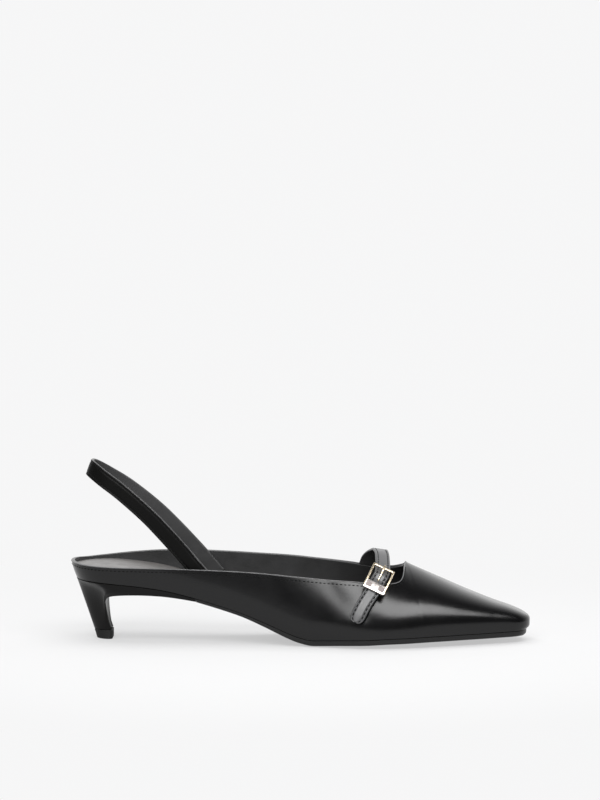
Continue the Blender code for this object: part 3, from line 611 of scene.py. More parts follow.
def sling_line():
    """Middle line of the sling with its outward normals, from one sewn end to the other."""
    path = curve_through(sling_points(LATERAL)[:0:-1] + sling_points(MEDIAL), STRAP_STEPS)
    normals = []
    for i, point in enumerate(path):
        tangent = (path[min(i + 1, len(path) - 1)] - path[max(i - 1, 0)]).normalized()
        flat = Vector((tangent.x, tangent.y, 0)).normalized()
        out = Vector((-flat.y, flat.x, 0))
        high = max(0.0, (point.z - SEAT_HEIGHT) / (SLING_HEIGHT - SEAT_HEIGHT))
        lean = Vector((0, 0, SLING_TILT)) * high ** SLING_TILT_POWER
        normals.append((out + lean).normalized())
    return path, normals


def buckle_frame_matrix():
    """The buckle's own frame: X along the strap to its tip, Y across, Z out from the upper."""
    origin = wrap_point(BUCKLE_STATION, BUCKLE_ROUND)
    out = wrap_normal(BUCKLE_STATION, BUCKLE_ROUND)
    aim = wrap_point(BUCKLE_AIM_STATION, BUCKLE_AIM_ROUND) - origin
    along = (aim - out * aim.dot(out)).normalized()
    across = out.cross(along)
    matrix = Matrix((along, across, out)).transposed().to_4x4()
    matrix.translation = origin
    return matrix


def hinge_level():
    """Middle of the hinge bar over the upper: it lies in the tab's loop with a gap all round."""
    return GAP + TAB_WALL + GAP + HINGE_DIAMETER / 2


def tab_top():
    """Top of the leather loop round the hinge bar, over the upper."""
    return 2 * hinge_level() - GAP


def strap_level():
    """Middle of the instep strap over the upper, inside the buckle."""
    return tab_top() + GAP + STRAP_THICKNESS / 2


def metal_level():
    """Underside of the frame and of its keeper plate, just clear of the strap."""
    return strap_level() + STRAP_THICKNESS / 2 + GAP


def inner_rim_rise(station):
    """Share of the last's height at which the inner quarter's rim stands, along quarter and throat."""
    if station < THROAT.at("top", 0.0):
        return quarter_rise(station, MEDIAL)
    rim = Table(("top", "medial"), [(row[1], row[4]) for row in THROAT.rows])
    return rim.at("medial", station)


def strap_foot(across):
    """Where the instep strap starts on the inner rim, at a distance in front of its middle."""
    station = STRAP_FOOT_STATION + across / LENGTH
    angle = rise_angle(station, inner_rim_rise(station))
    rim = last_point(station, MEDIAL, angle, WALL / 2)
    up = (last_point(station, MEDIAL, angle + NORMAL_STEP, WALL / 2) - rim).normalized()
    return rim + up * STRAP_FOOT_GAP


def strap_line():
    """Middle line of the instep strap with its outward normals and widths, foot to tip."""
    frame = buckle_frame_matrix()
    reach = BUCKLE_LENGTH / 2
    foot_turn = 2 - rise_angle(STRAP_FOOT_STATION, inner_rim_rise(STRAP_FOOT_STATION)) / (math.pi / 2)
    points = [strap_foot(0.0)]
    normals = [wrap_normal(STRAP_FOOT_STATION, foot_turn)]
    widths = [STRAP_BASE_WIDTH]
    for row in STRAP.rows:
        station, turn, lift, narrow, level = row[1:]
        normal = wrap_normal(station, turn)
        points.append(wrap_point(station, turn) + normal * lift * STRAP_THICKNESS)
        normal.x *= 1 - level
        normal.normalize()
        normals.append(normal)
        widths.append(STRAP_BASE_WIDTH + (STRAP_WIDTH - STRAP_BASE_WIDTH) * narrow)
    for along in (-reach * BUCKLE_HOLD, 0.0, reach * BUCKLE_HOLD):
        points.append(frame @ Vector((along, 0, strap_level())))
        normals.append(frame.to_3x3() @ Vector((0, 0, 1)))
        widths.append(STRAP_WIDTH)
    for row in STRAP_TIP.rows:
        station, turn, lift = row[1:]
        normal = wrap_normal(station, turn)
        points.append(wrap_point(station, turn) + normal * lift * STRAP_THICKNESS)
        normals.append(normal)
        widths.append(STRAP_WIDTH)
    smooth_widths = [w.x for w in curve_through([Vector((w, 0, 0)) for w in widths], STRAP_STEPS)]
    count = len(points) - 1
    for i in range(len(smooth_widths)):
        end = max(0.0, 1 - (count - i / STRAP_STEPS) / TIP_SHARE)
        smooth_widths[i] *= math.sqrt(max(0.0, 1 - TIP_ROUNDING * end * end))
    return curve_through(points, STRAP_STEPS), curve_through(normals, STRAP_STEPS), smooth_widths


SCENE = bpy.context.scene
BODY = "root"


def part_offset():
    """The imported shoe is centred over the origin: the way from the last's own line to it."""
    toe = feather_point(1.0, LATERAL, SOLE_INSET).x
    low = min(feather_point(0.6 + 0.001 * i, LATERAL, SOLE_INSET).y for i in range(120))
    box_low, box_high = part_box("outsole")
    return Vector((box_high.x - toe, box_low.y - low, 0))


OFFSET = part_offset()


# Materials

def node_material(name):
    made = bpy.data.materials.new(name)
    made.use_nodes = True
    return made, made.node_tree, made.node_tree.nodes["Principled BSDF"]


def add_node(tree, kind, **inputs):
    node = tree.nodes.new(kind)
    for key, value in inputs.items():
        node.inputs[key.replace("_", " ")].default_value = value
    return node


def noise_output(tree, coordinates, scale, detail=2.0, rough=0.5):
    node = add_node(tree, "ShaderNodeTexNoise", Scale=scale, Detail=detail, Roughness=rough)
    tree.links.new(coordinates, node.inputs["Vector"])
    return node.outputs["Fac"]


def spread_output(tree, source, low, high):
    """Maps 0.3 to 0.7 of a noise to a chosen range."""
    node = add_node(tree, "ShaderNodeMapRange", From_Min=0.3, From_Max=0.7, To_Min=low, To_Max=high)
    tree.links.new(source, node.inputs["Value"])
    return node.outputs["Result"]


def mix_colour(tree, factor, first, second):
    node = tree.nodes.new("ShaderNodeMix")
    node.data_type = "RGBA"
    node.inputs["A"].default_value = (*first, 1)
    node.inputs["B"].default_value = (*second, 1)
    tree.links.new(factor, node.inputs["Factor"])
    return node.outputs["Result"]


def clouded_material(name, dark, light, scale, detail, rough=0.5):
    """Material in two shades that follow a noise; its noise and coordinates come back with it."""
    made, tree, shader = node_material(name)
    place = tree.nodes.new("ShaderNodeTexCoord").outputs["Object"]
    cloud = noise_output(tree, place, scale, detail, rough)
    tree.links.new(mix_colour(tree, cloud, dark, light), shader.inputs["Base Color"])
    return made, tree, shader, place, cloud


def bump_chain(tree, shader, heights):
    """Stacks bumps: each is a height output, its strength and its depth in metres."""
    normal = None
    for height, strength, depth in heights:
        node = add_node(tree, "ShaderNodeBump", Strength=strength, Distance=depth)
        tree.links.new(height, node.inputs["Height"])
        if normal:
            tree.links.new(normal, node.inputs["Normal"])
        normal = node.outputs["Normal"]
    tree.links.new(normal, shader.inputs["Normal"])


def leather_material(name, dark, light, rough_low, rough_high, coat, grain, shine):
    """Smooth black calf: pores and soft grain in the bump, its polish uneven in the roughness."""
    made, tree, shader, place, _ = clouded_material(name, dark, light, 38.0, 3.0)
    patches = noise_output(tree, place, 85.0, 4.0, 0.6)
    tree.links.new(spread_output(tree, patches, rough_low, rough_high), shader.inputs["Roughness"])
    pores = add_node(tree, "ShaderNodeTexVoronoi", Scale=2600.0)
    tree.links.new(place, pores.inputs["Vector"])
    soft = noise_output(tree, place, 520.0, 4.0, 0.55)
    slow = noise_output(tree, place, 70.0, 2.0)
    bump_chain(tree, shader, (
        (slow, 0.15, 0.0005),
        (soft, grain, 0.00012),
        (pores.outputs["Distance"], grain * 0.7, 0.00005),
    ))
    shader.inputs["Coat Weight"].default_value = coat
    shader.inputs["Coat Roughness"].default_value = 0.20
    shader.inputs["Specular IOR Level"].default_value = shine
    return made


def lining_material(name, dark, light, rough, shine):
    """Dark lining leather with a visible fine grain and little polish."""
    made, tree, shader, place, _ = clouded_material(name, dark, light, 60.0, 4.0)
    patches = noise_output(tree, place, 200.0, 3.0)
    tree.links.new(spread_output(tree, patches, rough - 0.07, rough + 0.07), shader.inputs["Roughness"])
    shader.inputs["Specular IOR Level"].default_value = shine
    cells = add_node(tree, "ShaderNodeTexVoronoi", Scale=1500.0)
    tree.links.new(place, cells.inputs["Vector"])
    fine = noise_output(tree, place, 900.0, 4.0, 0.6)
    bump_chain(tree, shader, (
        (cells.outputs["Distance"], 0.35, 0.0001),
        (fine, 0.3, 0.0001),
    ))
    return made


def plain_material(name, dark, light, scale, rough, bump, depth, shine=0.5):
    """Rubber, thread and painted edges: a fine mottled colour and a matching bump."""
    made, tree, shader, _, speckle = clouded_material(name, dark, light, scale, 4.0, 0.6)
    tree.links.new(spread_output(tree, speckle, rough - 0.05, rough + 0.05), shader.inputs["Roughness"])
    bump_chain(tree, shader, ((speckle, bump, depth),))
    shader.inputs["Specular IOR Level"].default_value = shine
    return made


def gold_material(name, dark, light, rough_low, rough_high):
    """Pale gold plating with faint polishing marks."""
    made, tree, shader, place, _ = clouded_material(name, dark, light, 260.0, 3.0)
    shader.inputs["Metallic"].default_value = 1.0
    marks = noise_output(tree, place, 1400.0, 3.0, 0.7)
    tree.links.new(spread_output(tree, marks, rough_low, rough_high), shader.inputs["Roughness"])
    bump_chain(tree, shader, ((marks, 0.12, 0.00003),))
    return made


LEATHER = leather_material(
    "upper_calf", (0.0016, 0.0016, 0.0018), (0.0026, 0.0026, 0.0028), 0.19, 0.25, 0.12, 0.07, 0.31)
HEEL_LEATHER = leather_material(
    "heel_calf", (0.0018, 0.0017, 0.0017), (0.0030, 0.0028, 0.0028), 0.28, 0.36, 0.0, 0.08, 0.17)
STRAP_LEATHER = leather_material(
    "strap_calf", (0.0020, 0.0020, 0.0018), (0.0034, 0.0034, 0.0032), 0.42, 0.50, 0.0, 0.18, 0.08)
# Instep strap: its base colour is far lighter than the other calf, a painted sheen for the glossy reflection
# on the strap's face.
BAND_LEATHER_WITH_SHEEN = leather_material(
    "band_calf_with_painted_sheen", (0.030, 0.030, 0.031), (0.046, 0.046, 0.048), 0.34, 0.42, 0.10, 0.16, 0.70)
LINING = lining_material("lining_leather", (0.015, 0.015, 0.015), (0.038, 0.038, 0.039), 0.50, 0.40)
SOCK_LEATHER = lining_material("sock_leather", (0.060, 0.057, 0.055), (0.090, 0.086, 0.083), 0.42, 0.55)
# Cut edges of the upper's rim and of the straps: edge paint in a grey far lighter than the calf, partly a
# painted highlight for the light caught along the edges.
EDGE_WITH_HIGHLIGHT = plain_material(
    "edge_paint_with_painted_highlight", (0.014, 0.014, 0.0145), (0.026, 0.026, 0.0265), 900.0, 0.32, 0.3, 0.0001)
# Painted highlight: the folded topline edge gets a far lighter colour than the calf, standing for the light
# that the edge catches.
ROLL_HIGHLIGHT = plain_material("folded_edge_painted_highlight", (0.060, 0.060, 0.061), (0.095, 0.095, 0.097), 900.0, 0.34, 0.3, 0.0001)
SOLE = plain_material(
    "sole_edge", (0.006, 0.006, 0.006), (0.012, 0.012, 0.012), 700.0, 0.42, 0.30, 0.0001, 0.28)
TREAD = plain_material(
    "sole_leather", (0.014, 0.013, 0.013), (0.026, 0.025, 0.024), 260.0, 0.60, 0.5, 0.0002)
RUBBER = plain_material(
    "heel_rubber", (0.010, 0.010, 0.010), (0.018, 0.018, 0.018), 1100.0, 0.62, 0.5, 0.0001, 0.15)
THREAD = plain_material(
    "black_thread", (0.0015, 0.0015, 0.0015), (0.0040, 0.0040, 0.0040), 2500.0, 0.90, 0.6, 0.00005, 0.2)
GOLD = gold_material("pale_gold", (0.90, 0.76, 0.55), (0.95, 0.83, 0.64), 0.20, 0.30)
PLATE = gold_material("rose_plate", (0.93, 0.86, 0.82), (0.97, 0.91, 0.88), 0.24, 0.34)
ETCHED = gold_material("etched_panel", (0.20, 0.175, 0.17), (0.27, 0.24, 0.23), 0.42, 0.55)
BRASS = gold_material("dark_brass", (0.42, 0.31, 0.17), (0.55, 0.42, 0.24), 0.26, 0.36)


# Making pieces

def to_object(bm, name, materials, angle=50):
    bmesh.ops.remove_doubles(bm, verts=bm.verts, dist=1e-6)
    bmesh.ops.dissolve_degenerate(bm, edges=bm.edges, dist=1e-6)
    bmesh.ops.recalc_face_normals(bm, faces=bm.faces)
    mesh = mesh_of(bm, name, materials)
    mesh.shade_smooth()
    mesh.set_sharp_from_angle(angle=math.radians(angle))
    made = placed(name, mesh)
    made.location = OFFSET
    return made


def mesh_of(bm, name, materials):
    mesh = bpy.data.meshes.new(name)
    bm.to_mesh(mesh)
    bm.free()
    for finish in materials:
        mesh.materials.append(finish)
    return mesh


def placed(name, data):
    """New object in the scene, for a mesh, a curve, a light or the camera."""
    made = bpy.data.objects.new(name, data)
    SCENE.collection.objects.link(made)
    return made


def stand_for(piece, slot, *nodes):
    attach(piece, BODY)
    if nodes:
        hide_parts(*nodes)


def bevelled(piece, width, segments, angle):
    step = piece.modifiers.new("eased", "BEVEL")
    step.width = width
    step.segments = segments
    step.limit_method = "ANGLE"
    step.angle_limit = math.radians(angle)
    step.harden_normals = False


# Soft relief of the worn-in leather: turn is 0 at the lateral feather edge, 1 on the ridge, 2 medial.
# Half lengths run along and across each trough, lean turns it, depth is in metres, below 0 a ridge.
CREASES = (
    ("station", "turn", "long", "wide", "lean", "depth"),
    (
        (0.560, 0.35, 0.020, 0.0060, 40, 0.00006),
        (0.590, 0.42, 0.022, 0.0070, 38, -0.00006),
        (0.480, 0.30, 0.018, 0.0070, 30, 0.00012),
        (0.560, 1.62, 0.020, 0.0065, -40, 0.00012),
    ),
)


def relief(station, turn):
    """How far the surface sinks at a place, from the creases near it."""
    depth = 0.0
    for place, middle, long, wide, lean, amount in CREASES[1]:
        x = (station - place) * LENGTH
        y = (turn - middle) * BALL_WIDTH * 0.62
        if abs(x) > 2.5 * long or abs(y) > 2.5 * long:
            continue
        a = math.radians(lean)
        along = x * math.cos(a) + y * math.sin(a)
        across = -x * math.sin(a) + y * math.cos(a)
        depth += amount * math.exp(-(along / long) ** 2 - (across / wide) ** 2)
    return depth


def skin_point(station, side, angle):
    """The last with its creases pressed in."""
    turn = angle / (math.pi / 2)
    turn = turn if side == LATERAL else 2 - turn
    sink = relief(station, turn)
    return last_point(station, side, angle, sink)


RIM_ROUND = 0.00045
RUBBER_ROUND = 0.0003
SOCK_ROLL = 0.0008


def make_upper():
    bm = bmesh.new()
    for side in (LATERAL, MEDIAL):
        grid = []
        for foot, top, lateral, medial in wall_columns():
            top_angle = rise_angle(top, lateral if side == LATERAL else medial)
            column = []
            for row in range(WALL_ROWS + 1):
                share = row / WALL_ROWS
                column.append(skin_point(foot + (top - foot) * share, side, top_angle * share))
            grid.append(column)
        loft(bm, grid, closed=False)
    upper = to_object(bm, "upper_calf_shell", (LEATHER, LINING, EDGE_WITH_HIGHLIGHT), angle=75)
    turn_outward(upper)
    shell = upper.modifiers.new("wall", "SOLIDIFY")
    shell.thickness = WALL
    shell.offset = -1
    shell.use_even_offset = False
    shell.material_offset = 1
    shell.material_offset_rim = 2
    bevelled(upper, RIM_ROUND, 3, 55)
    stand_for(upper, "upper_leather", "upper")


def turn_outward(piece):
    """An open sheet has no inside, so its faces are turned away from the last's middle by hand."""
    mesh = piece.data
    score = 0.0
    for face in mesh.polygons:
        middle = Vector((face.center.x, 0, 0.02))
        score += (face.center - middle).dot(face.normal) * face.area
    if score < 0:
        mesh.flip_normals()


def make_outsole():
    start = (TONGUE_LENGTH + GAP * 0.2) / LENGTH
    rounds = 5
    rings = []
    for station in foot_stations(start):
        top = feather_height(station) - GAP
        bottom = top - sole_thickness(station)
        eased = sole_thickness(station) * SOLE_EDGE_SHARE
        edges = []
        for side in (LATERAL, MEDIAL):
            wide = feather_point(station, side, SOLE_INSET)
            edge = [Vector((wide.x, wide.y, top))]
            for i in range(rounds + 1):
                a = math.pi / 2 * i / rounds
                at = feather_point(station, side, SOLE_INSET + eased * (1 - math.cos(a)))
                edge.append(Vector((min(wide.x, at.x), at.y, bottom + eased * (1 - math.sin(a)))))
            edges.append(edge)
        rings.append(crowned_ring(station, edges))
    bm = bmesh.new()
    grid = loft(bm, rings)
    bm.faces.new(grid[0])
    sole = to_object(bm, "leather_outsole", (SOLE, TREAD), angle=50)
    for face in sole.data.polygons:
        if face.normal.z < -0.93:
            face.material_index = 1
    stand_for(sole, "sole_leather", "outsole")


def make_insole():
    """Sock over its board and heel pad, its edge rolled down and its seat slightly hollow."""
    roll = 4
    rings = []
    for station in foot_stations():
        edges = []
        for side in (LATERAL, MEDIAL):
            foot = feather_point(station, side, WALL + SOCK_CLEARANCE)
            rim = sock_edge(station, side)
            inward = Vector((0, -side, 0)) * SOCK_ROLL * end_factor(station)
            edge = []
            for i in range(roll + 1):
                a = math.pi / 2 * i / roll
                edge.append(rim + inward * (1 - math.sin(a)) - Vector((0, 0, SOCK_ROLL * (1 - math.cos(a)))))
            edges.append(edge + [foot])
        rings.append(crowned_ring(station, edges))
    bm = bmesh.new()
    loft(bm, rings)
    sock = to_object(bm, "leather_sock", (SOCK_LEATHER,), angle=60)
    stand_for(sock, "insole_leather", "insole")


def make_heel():
    """Covered heel block, lofted as its solid is."""
    tip_level = TOP_PIECE_HEIGHT + GAP
    stations = [s for s in foot_stations() if s < TONGUE_LENGTH / LENGTH - 0.004]
    stations.append(TONGUE_LENGTH / LENGTH)
    count = len(stations) - 1
    breast_steps = 24
    places = [(i / count, s, LATERAL, 0.0) for i, s in enumerate(stations)]
    places += [(1.0, stations[-1], LATERAL, j / breast_steps) for j in range(1, breast_steps)]
    places += [(i / count, s, MEDIAL, 0.0) for i, s in reversed(list(enumerate(stations)))]
    rings = []
    for k in range(HEEL_ROWS + 1):
        level = k / HEEL_ROWS
        rings.append([heel_point(place, level, tip_level) for place in places])
    bm = bmesh.new()
    grid = loft(bm, rings)
    bm.faces.new(grid[0])
    cap_ladder(bm, grid[-1], count)
    block = to_object(bm, "covered_heel", (HEEL_LEATHER,), angle=38)
    stand_for(block, "heel_leather", "heel_block")


def heel_point(place, level, tip_level):
    share, station, side, across = place
    rise = HEEL.at("rise", level)
    spread = HEEL.at("spread", level)
    run = HEEL.at("run", level)
    seat = feather_point(station, side)
    tip = tip_point(share, side)
    if across:
        seat = seat.lerp(feather_point(station, MEDIAL), across)
        tip = tip.lerp(tip_point(share, MEDIAL), across)
    forward = rise + (run - rise) * smooth_step(share / BREAST_START)
    x = tip.x + (seat.x - tip.x) * forward
    x -= HEEL_BREAST_HOLLOW * 4 * across * (1 - across) * (1 - level)
    y = tip.y + (seat.y - tip.y) * spread
    tongue = TONGUE_THICKNESS + (TONGUE_ROOT - TONGUE_THICKNESS) * (1 - forward)
    under = feather_height(x / LENGTH + 0.5) - GAP
    top = under - tongue * (1 - step_up(level)) * smooth_step(share)
    return Vector((x, y, tip_level + (top - tip_level) * rise))


def make_top_piece():
    steps = 40
    half_ring = [i / steps for i in range(steps + 1)]
    back = HEEL_TIP_BACK - LENGTH / 2
    rings = []
    for level in (0.0, TOP_PIECE_HEIGHT):
        forward = (TOP_PIECE_HEIGHT - level) * TOP_PIECE_RAKE
        ring = [tip_point(share, LATERAL, TOP_PIECE_PROUD) for share in half_ring]
        ring += [tip_point(share, MEDIAL, TOP_PIECE_PROUD) for share in reversed(half_ring[1:])]
        rings.append([
            Vector((p.x + forward * (1 - (p.x - back) / HEEL_TIP_LENGTH), p.y, level)) for p in ring
        ])
    bm = bmesh.new()
    grid = loft(bm, rings)
    bm.faces.new(grid[0])
    bm.faces.new(grid[-1])
    piece = to_object(bm, "rubber_top_piece", (RUBBER,), angle=40)
    bevelled(piece, RUBBER_ROUND, 2, 50)
    stand_for(piece, "heel_rubber", "heel_top_piece")


# Straps

STITCH_INSET = 0.0014
GROOVE_HALF = 0.00052
GROOVE_DEPTH = 0.00030
STRAP_ROUND_SHARE = 0.42

# Stitches: the pitch of a row, then the length and radius of one stitch
SLING_STITCH = (0.0024, 0.0018, 0.00034)
INSTEP_STITCH = (0.0026, 0.0020, 0.00044)
TOPLINE_STITCH = (0.0023, 0.0017, 0.00034)
TOPLINE_INSET = 0.0019


def frames_along(path, normals):
    """Tangent, across and outward directions at each point of a strap."""
    frames = []
    for i in range(len(path)):
        tangent = (path[min(i + 1, len(path) - 1)] - path[max(i - 1, 0)]).normalized()
        across = normals[i].cross(tangent).normalized()
        frames.append((tangent, across, tangent.cross(across).normalized()))
    return frames


def strap_outline(width, thickness, edge_round=5, flats=36):
    """Section of a strap: edges rounded like burnished leather, and a groove where each stitch row lies."""
    radius = thickness * STRAP_ROUND_SHARE
    outline = []
    for corner_x, corner_z, start in ((1, 1, 90), (1, -1, 0), (-1, -1, -90), (-1, 1, -180)):
        for i in range(edge_round + 1):
            a = math.radians(start - 90 * i / edge_round)
            outline.append((
                corner_x * (width / 2 - radius) + radius * math.cos(a),
                corner_z * (thickness / 2 - radius) + radius * math.sin(a),
            ))
        if corner_x == corner_z:
            continue
        sign = -1 if corner_z < 0 else 1
        for i in range(1, flats):
            x = sign * (width / 2 - radius) * (2 * i / flats - 1)
            off = (width / 2 - abs(x) - STITCH_INSET) / GROOVE_HALF
            sunk = GROOVE_DEPTH * math.exp(-off * off) if corner_z > 0 else 0.0
            outline.append((x, corner_z * thickness / 2 - sunk))
    return outline


def make_strap(name, path, normals, widths, thickness, materials, foot=None):
    """Strap with rounded edges; a foot function gives the line that its first section stands on."""
    bm = bmesh.new()
    rings = []
    frames = frames_along(path, normals)
    for i, (point, (_, across, out), width) in enumerate(zip(path, frames, widths)):
        share = max(0.0, 1 - i / (FOOT_BLEND * STRAP_STEPS)) if foot else 0.0
        ring = []
        for u, v in strap_outline(width, thickness):
            ring.append(point + across * u + out * v)
            if share:
                base = u * widths[0] / width
                square = path[0] + frames[0][1] * base + frames[0][2] * v
                ring[-1] += (foot(base) + normals[0] * v - square) * share
        rings.append(ring)
    grid = loft(bm, rings)
    bm.faces.new(grid[0])
    bm.faces.new(grid[-1])
    return to_object(bm, name, materials, angle=60)


def colour_strap(strap, path, normals, edge_index, back_index):
    """Gives the faces of a strap their edge, outer and back finishes by where they look."""
    frames = frames_along(path, normals)
    for face in strap.data.polygons:
        nearest = min(range(len(path)), key=lambda i: (path[i] - face.center).length_squared)
        _, across, out = frames[nearest]
        if abs(face.normal.dot(across)) > 0.6:
            face.material_index = edge_index
        elif face.normal.dot(out) < -0.5:
            face.material_index = back_index


def make_sling():
    path, normals = sling_line()
    widths = [SLING_WIDTH] * len(path)
    strap = make_strap("heel_sling", path, normals, widths, SLING_THICKNESS, (STRAP_LEATHER, EDGE_WITH_HIGHLIGHT, LINING))
    colour_strap(strap, path, normals, 1, 2)
    stand_for(strap, "strap_leather", "sling_strap")
    frames = frames_along(path, normals)
    for name, edge in (("sling_stitch_high", -1), ("sling_stitch_low", 1)):
        shift = SLING_WIDTH / 2 - STITCH_INSET
        lift = SLING_THICKNESS / 2 - GROOVE_DEPTH
        line = [p + f[1] * edge * shift + f[2] * lift for p, f in zip(path, frames)]
        stitch_line(name, line, [f[2] for f in frames], SLING_STITCH, "strap_leather")


def make_instep_strap():
    path, normals, widths = strap_line()
    strap = make_strap(
        "buckled_instep_strap", path, normals, widths, STRAP_THICKNESS, (BAND_LEATHER_WITH_SHEEN, EDGE_WITH_HIGHLIGHT, LINING),
        foot=strap_foot)
    colour_strap(strap, path, normals, 1, 2)
    stand_for(strap, "strap_leather", "instep_strap")
    frames = frames_along(path, normals)
    lift = STRAP_THICKNESS / 2 - GROOVE_DEPTH
    line, outs = [], []
    for i in range(len(path)):
        point, (_, across, out) = path[i], frames[i]
        line.append(point + across * (STITCH_INSET - widths[i] / 2) + out * lift)
        outs.append(out)
        if widths[i] < 3 * STITCH_INSET:
            break
    reached = i
    for i in range(reached, -1, -1):
        point, (_, across, out) = path[i], frames[i]
        line.append(point + across * (widths[i] / 2 - STITCH_INSET) + out * lift)
        outs.append(out)
    stitch_line("instep_stitch", line, outs, INSTEP_STITCH, "strap_leather")


# Stitches

def walk_line(line, step):
    """Evenly spaced places along a line of points: index and share between two points."""
    places, left = [], 0.0
    for i in range(len(line) - 1):
        length = (line[i + 1] - line[i]).length
        while left <= length and length > 0:
            places.append((i, left / length))
            left += step
        left -= length
    return places


def stitch_line(name, line, outs, stitch, slot, sunk=0.20):
    """Row of thread stitches, each a small rounded bead along the line, a share of it sunk in."""
    pitch, length, radius = stitch
    bm = bmesh.new()
    for i, share in walk_line(line, pitch):
        point = line[i].lerp(line[i + 1], share)
        tangent = (line[i + 1] - line[i]).normalized()
        out = (outs[i] - tangent * outs[i].dot(tangent)).normalized()
        across = out.cross(tangent)
        turned = Matrix((tangent, across, out)).transposed().to_4x4()
        turned.translation = point - out * radius * sunk
        size = Matrix.Diagonal((length / 2, radius, radius * 0.8, 1))
        bmesh.ops.create_uvsphere(bm, u_segments=8, v_segments=6, radius=1.0, matrix=turned @ size)
    mesh = mesh_of(bm, name, (THREAD,))
    mesh.shade_smooth()
    made = placed(name, mesh)
    made.location = OFFSET
    stand_for(made, slot)


def rim_line(side, below):
    """Line along the topline on the outer face, a set distance below the rim."""
    line, outs = [], []
    for foot, top, lateral, medial in wall_columns():
        if lateral >= 1.0 and medial >= 1.0:
            break
        top_angle = rise_angle(top, lateral if side == LATERAL else medial)
        rim = skin_point(top, side, top_angle)
        share = 1.0
        while share > 0.3:
            at = skin_point(foot + (top - foot) * share, side, top_angle * share)
            if (at - rim).length >= below:
                break
            share -= 0.01
        turn = top_angle * share / (math.pi / 2)
        station = foot + (top - foot) * share
        line.append(at)
        outs.append(wrap_normal(max(station, 0.005), turn if side == LATERAL else 2 - turn))
    return line, outs


ROLL_RADIUS = 0.00028


def make_edge_highlight_roll():
    """Folded edge of the topline: a fine roll on its outer corner, all round the opening, its light colour a
    painted highlight where the edge catches the light.
    """
    line = []
    for side in (LATERAL, MEDIAL):
        half = []
        for _, top, lateral, medial in wall_columns():
            if lateral >= 1.0 and medial >= 1.0:
                break
            rise = lateral if side == LATERAL else medial
            half.append(skin_point(top, side, rise_angle(top, rise)) + OFFSET)
        line += half if side == MEDIAL else half[:0:-1]
    inner = [point - Vector((0, 0, ROLL_RADIUS * 0.5)) for point in line]
    roll = wire("topline_highlight_roll", inner, ROLL_RADIUS)
    roll.data.materials.append(ROLL_HIGHLIGHT)
    stand_for(roll, "upper_leather")


def make_topline_stitches():
    for name, side in (("topline_stitch_outer", LATERAL), ("topline_stitch_inner", MEDIAL)):
        line, outs = rim_line(side, TOPLINE_INSET)
        stitch_line(name, line, outs, TOPLINE_STITCH, "upper_leather")


# Buckle

METAL_ROUND = 0.00022
BUCKLE_CORNER = 0.0009


def buckle_plate(name, x0, x1, half, window, thickness, round_corner):
    """Flat metal outline with rounded corners, a window if given, and eased edges."""
    data = bpy.data.curves.new(name, "CURVE")
    data.dimensions = "2D"
    data.fill_mode = "BOTH"
    data.extrude = thickness / 2 - METAL_ROUND
    data.bevel_depth = METAL_ROUND
    data.bevel_resolution = 3
    data.offset = -METAL_ROUND
    loops = [(x0, x1, half, round_corner)]
    if window:
        loops.append((*window, round_corner * 0.45))
    for a, b, h, radius in loops:
        points = []
        for cx, cy, start in ((b - radius, h - radius, 0), (a + radius, h - radius, 90),
                              (a + radius, -h + radius, 180), (b - radius, -h + radius, 270)):
            for i in range(7):
                angle = math.radians(start + 15 * i)
                points.append((cx + radius * math.cos(angle), cy + radius * math.sin(angle)))
        spline = data.splines.new("POLY")
        spline.points.add(len(points) - 1)
        for point, (x, y) in zip(spline.points, points):
            point.co = (x, y, 0, 1)
        spline.use_cyclic_u = True
    return curve_piece(name, data)


def wire(name, points, radius):
    data = bpy.data.curves.new(name, "CURVE")
    data.dimensions = "3D"
    data.bevel_depth = radius
    data.bevel_resolution = 5
    data.use_fill_caps = True
    spline = data.splines.new("POLY")
    spline.points.add(len(points) - 1)
    for point, place in zip(spline.points, points):
        point.co = (*place, 1)
    return curve_piece(name, data)


def curve_piece(name, data):
    """Curve turned into a welded mesh object, so that it can be shaded and exported as it is."""
    holder = placed(name + "_line", data)
    bpy.context.view_layer.update()
    mesh = bpy.data.meshes.new_from_object(holder.evaluated_get(bpy.context.evaluated_depsgraph_get()))
    bpy.data.objects.remove(holder)
    bm = bmesh.new()
    bm.from_mesh(mesh)
    bmesh.ops.remove_doubles(bm, verts=bm.verts, dist=1e-6)
    bm.to_mesh(mesh)
    bm.free()
    mesh.name = name
    mesh.materials.clear()
    mesh.shade_smooth()
    mesh.set_sharp_from_angle(angle=math.radians(35))
    return placed(name, mesh)


def buckle_place(level):
    return Matrix.Translation(OFFSET) @ buckle_frame_matrix() @ Matrix.Translation((0, 0, level))


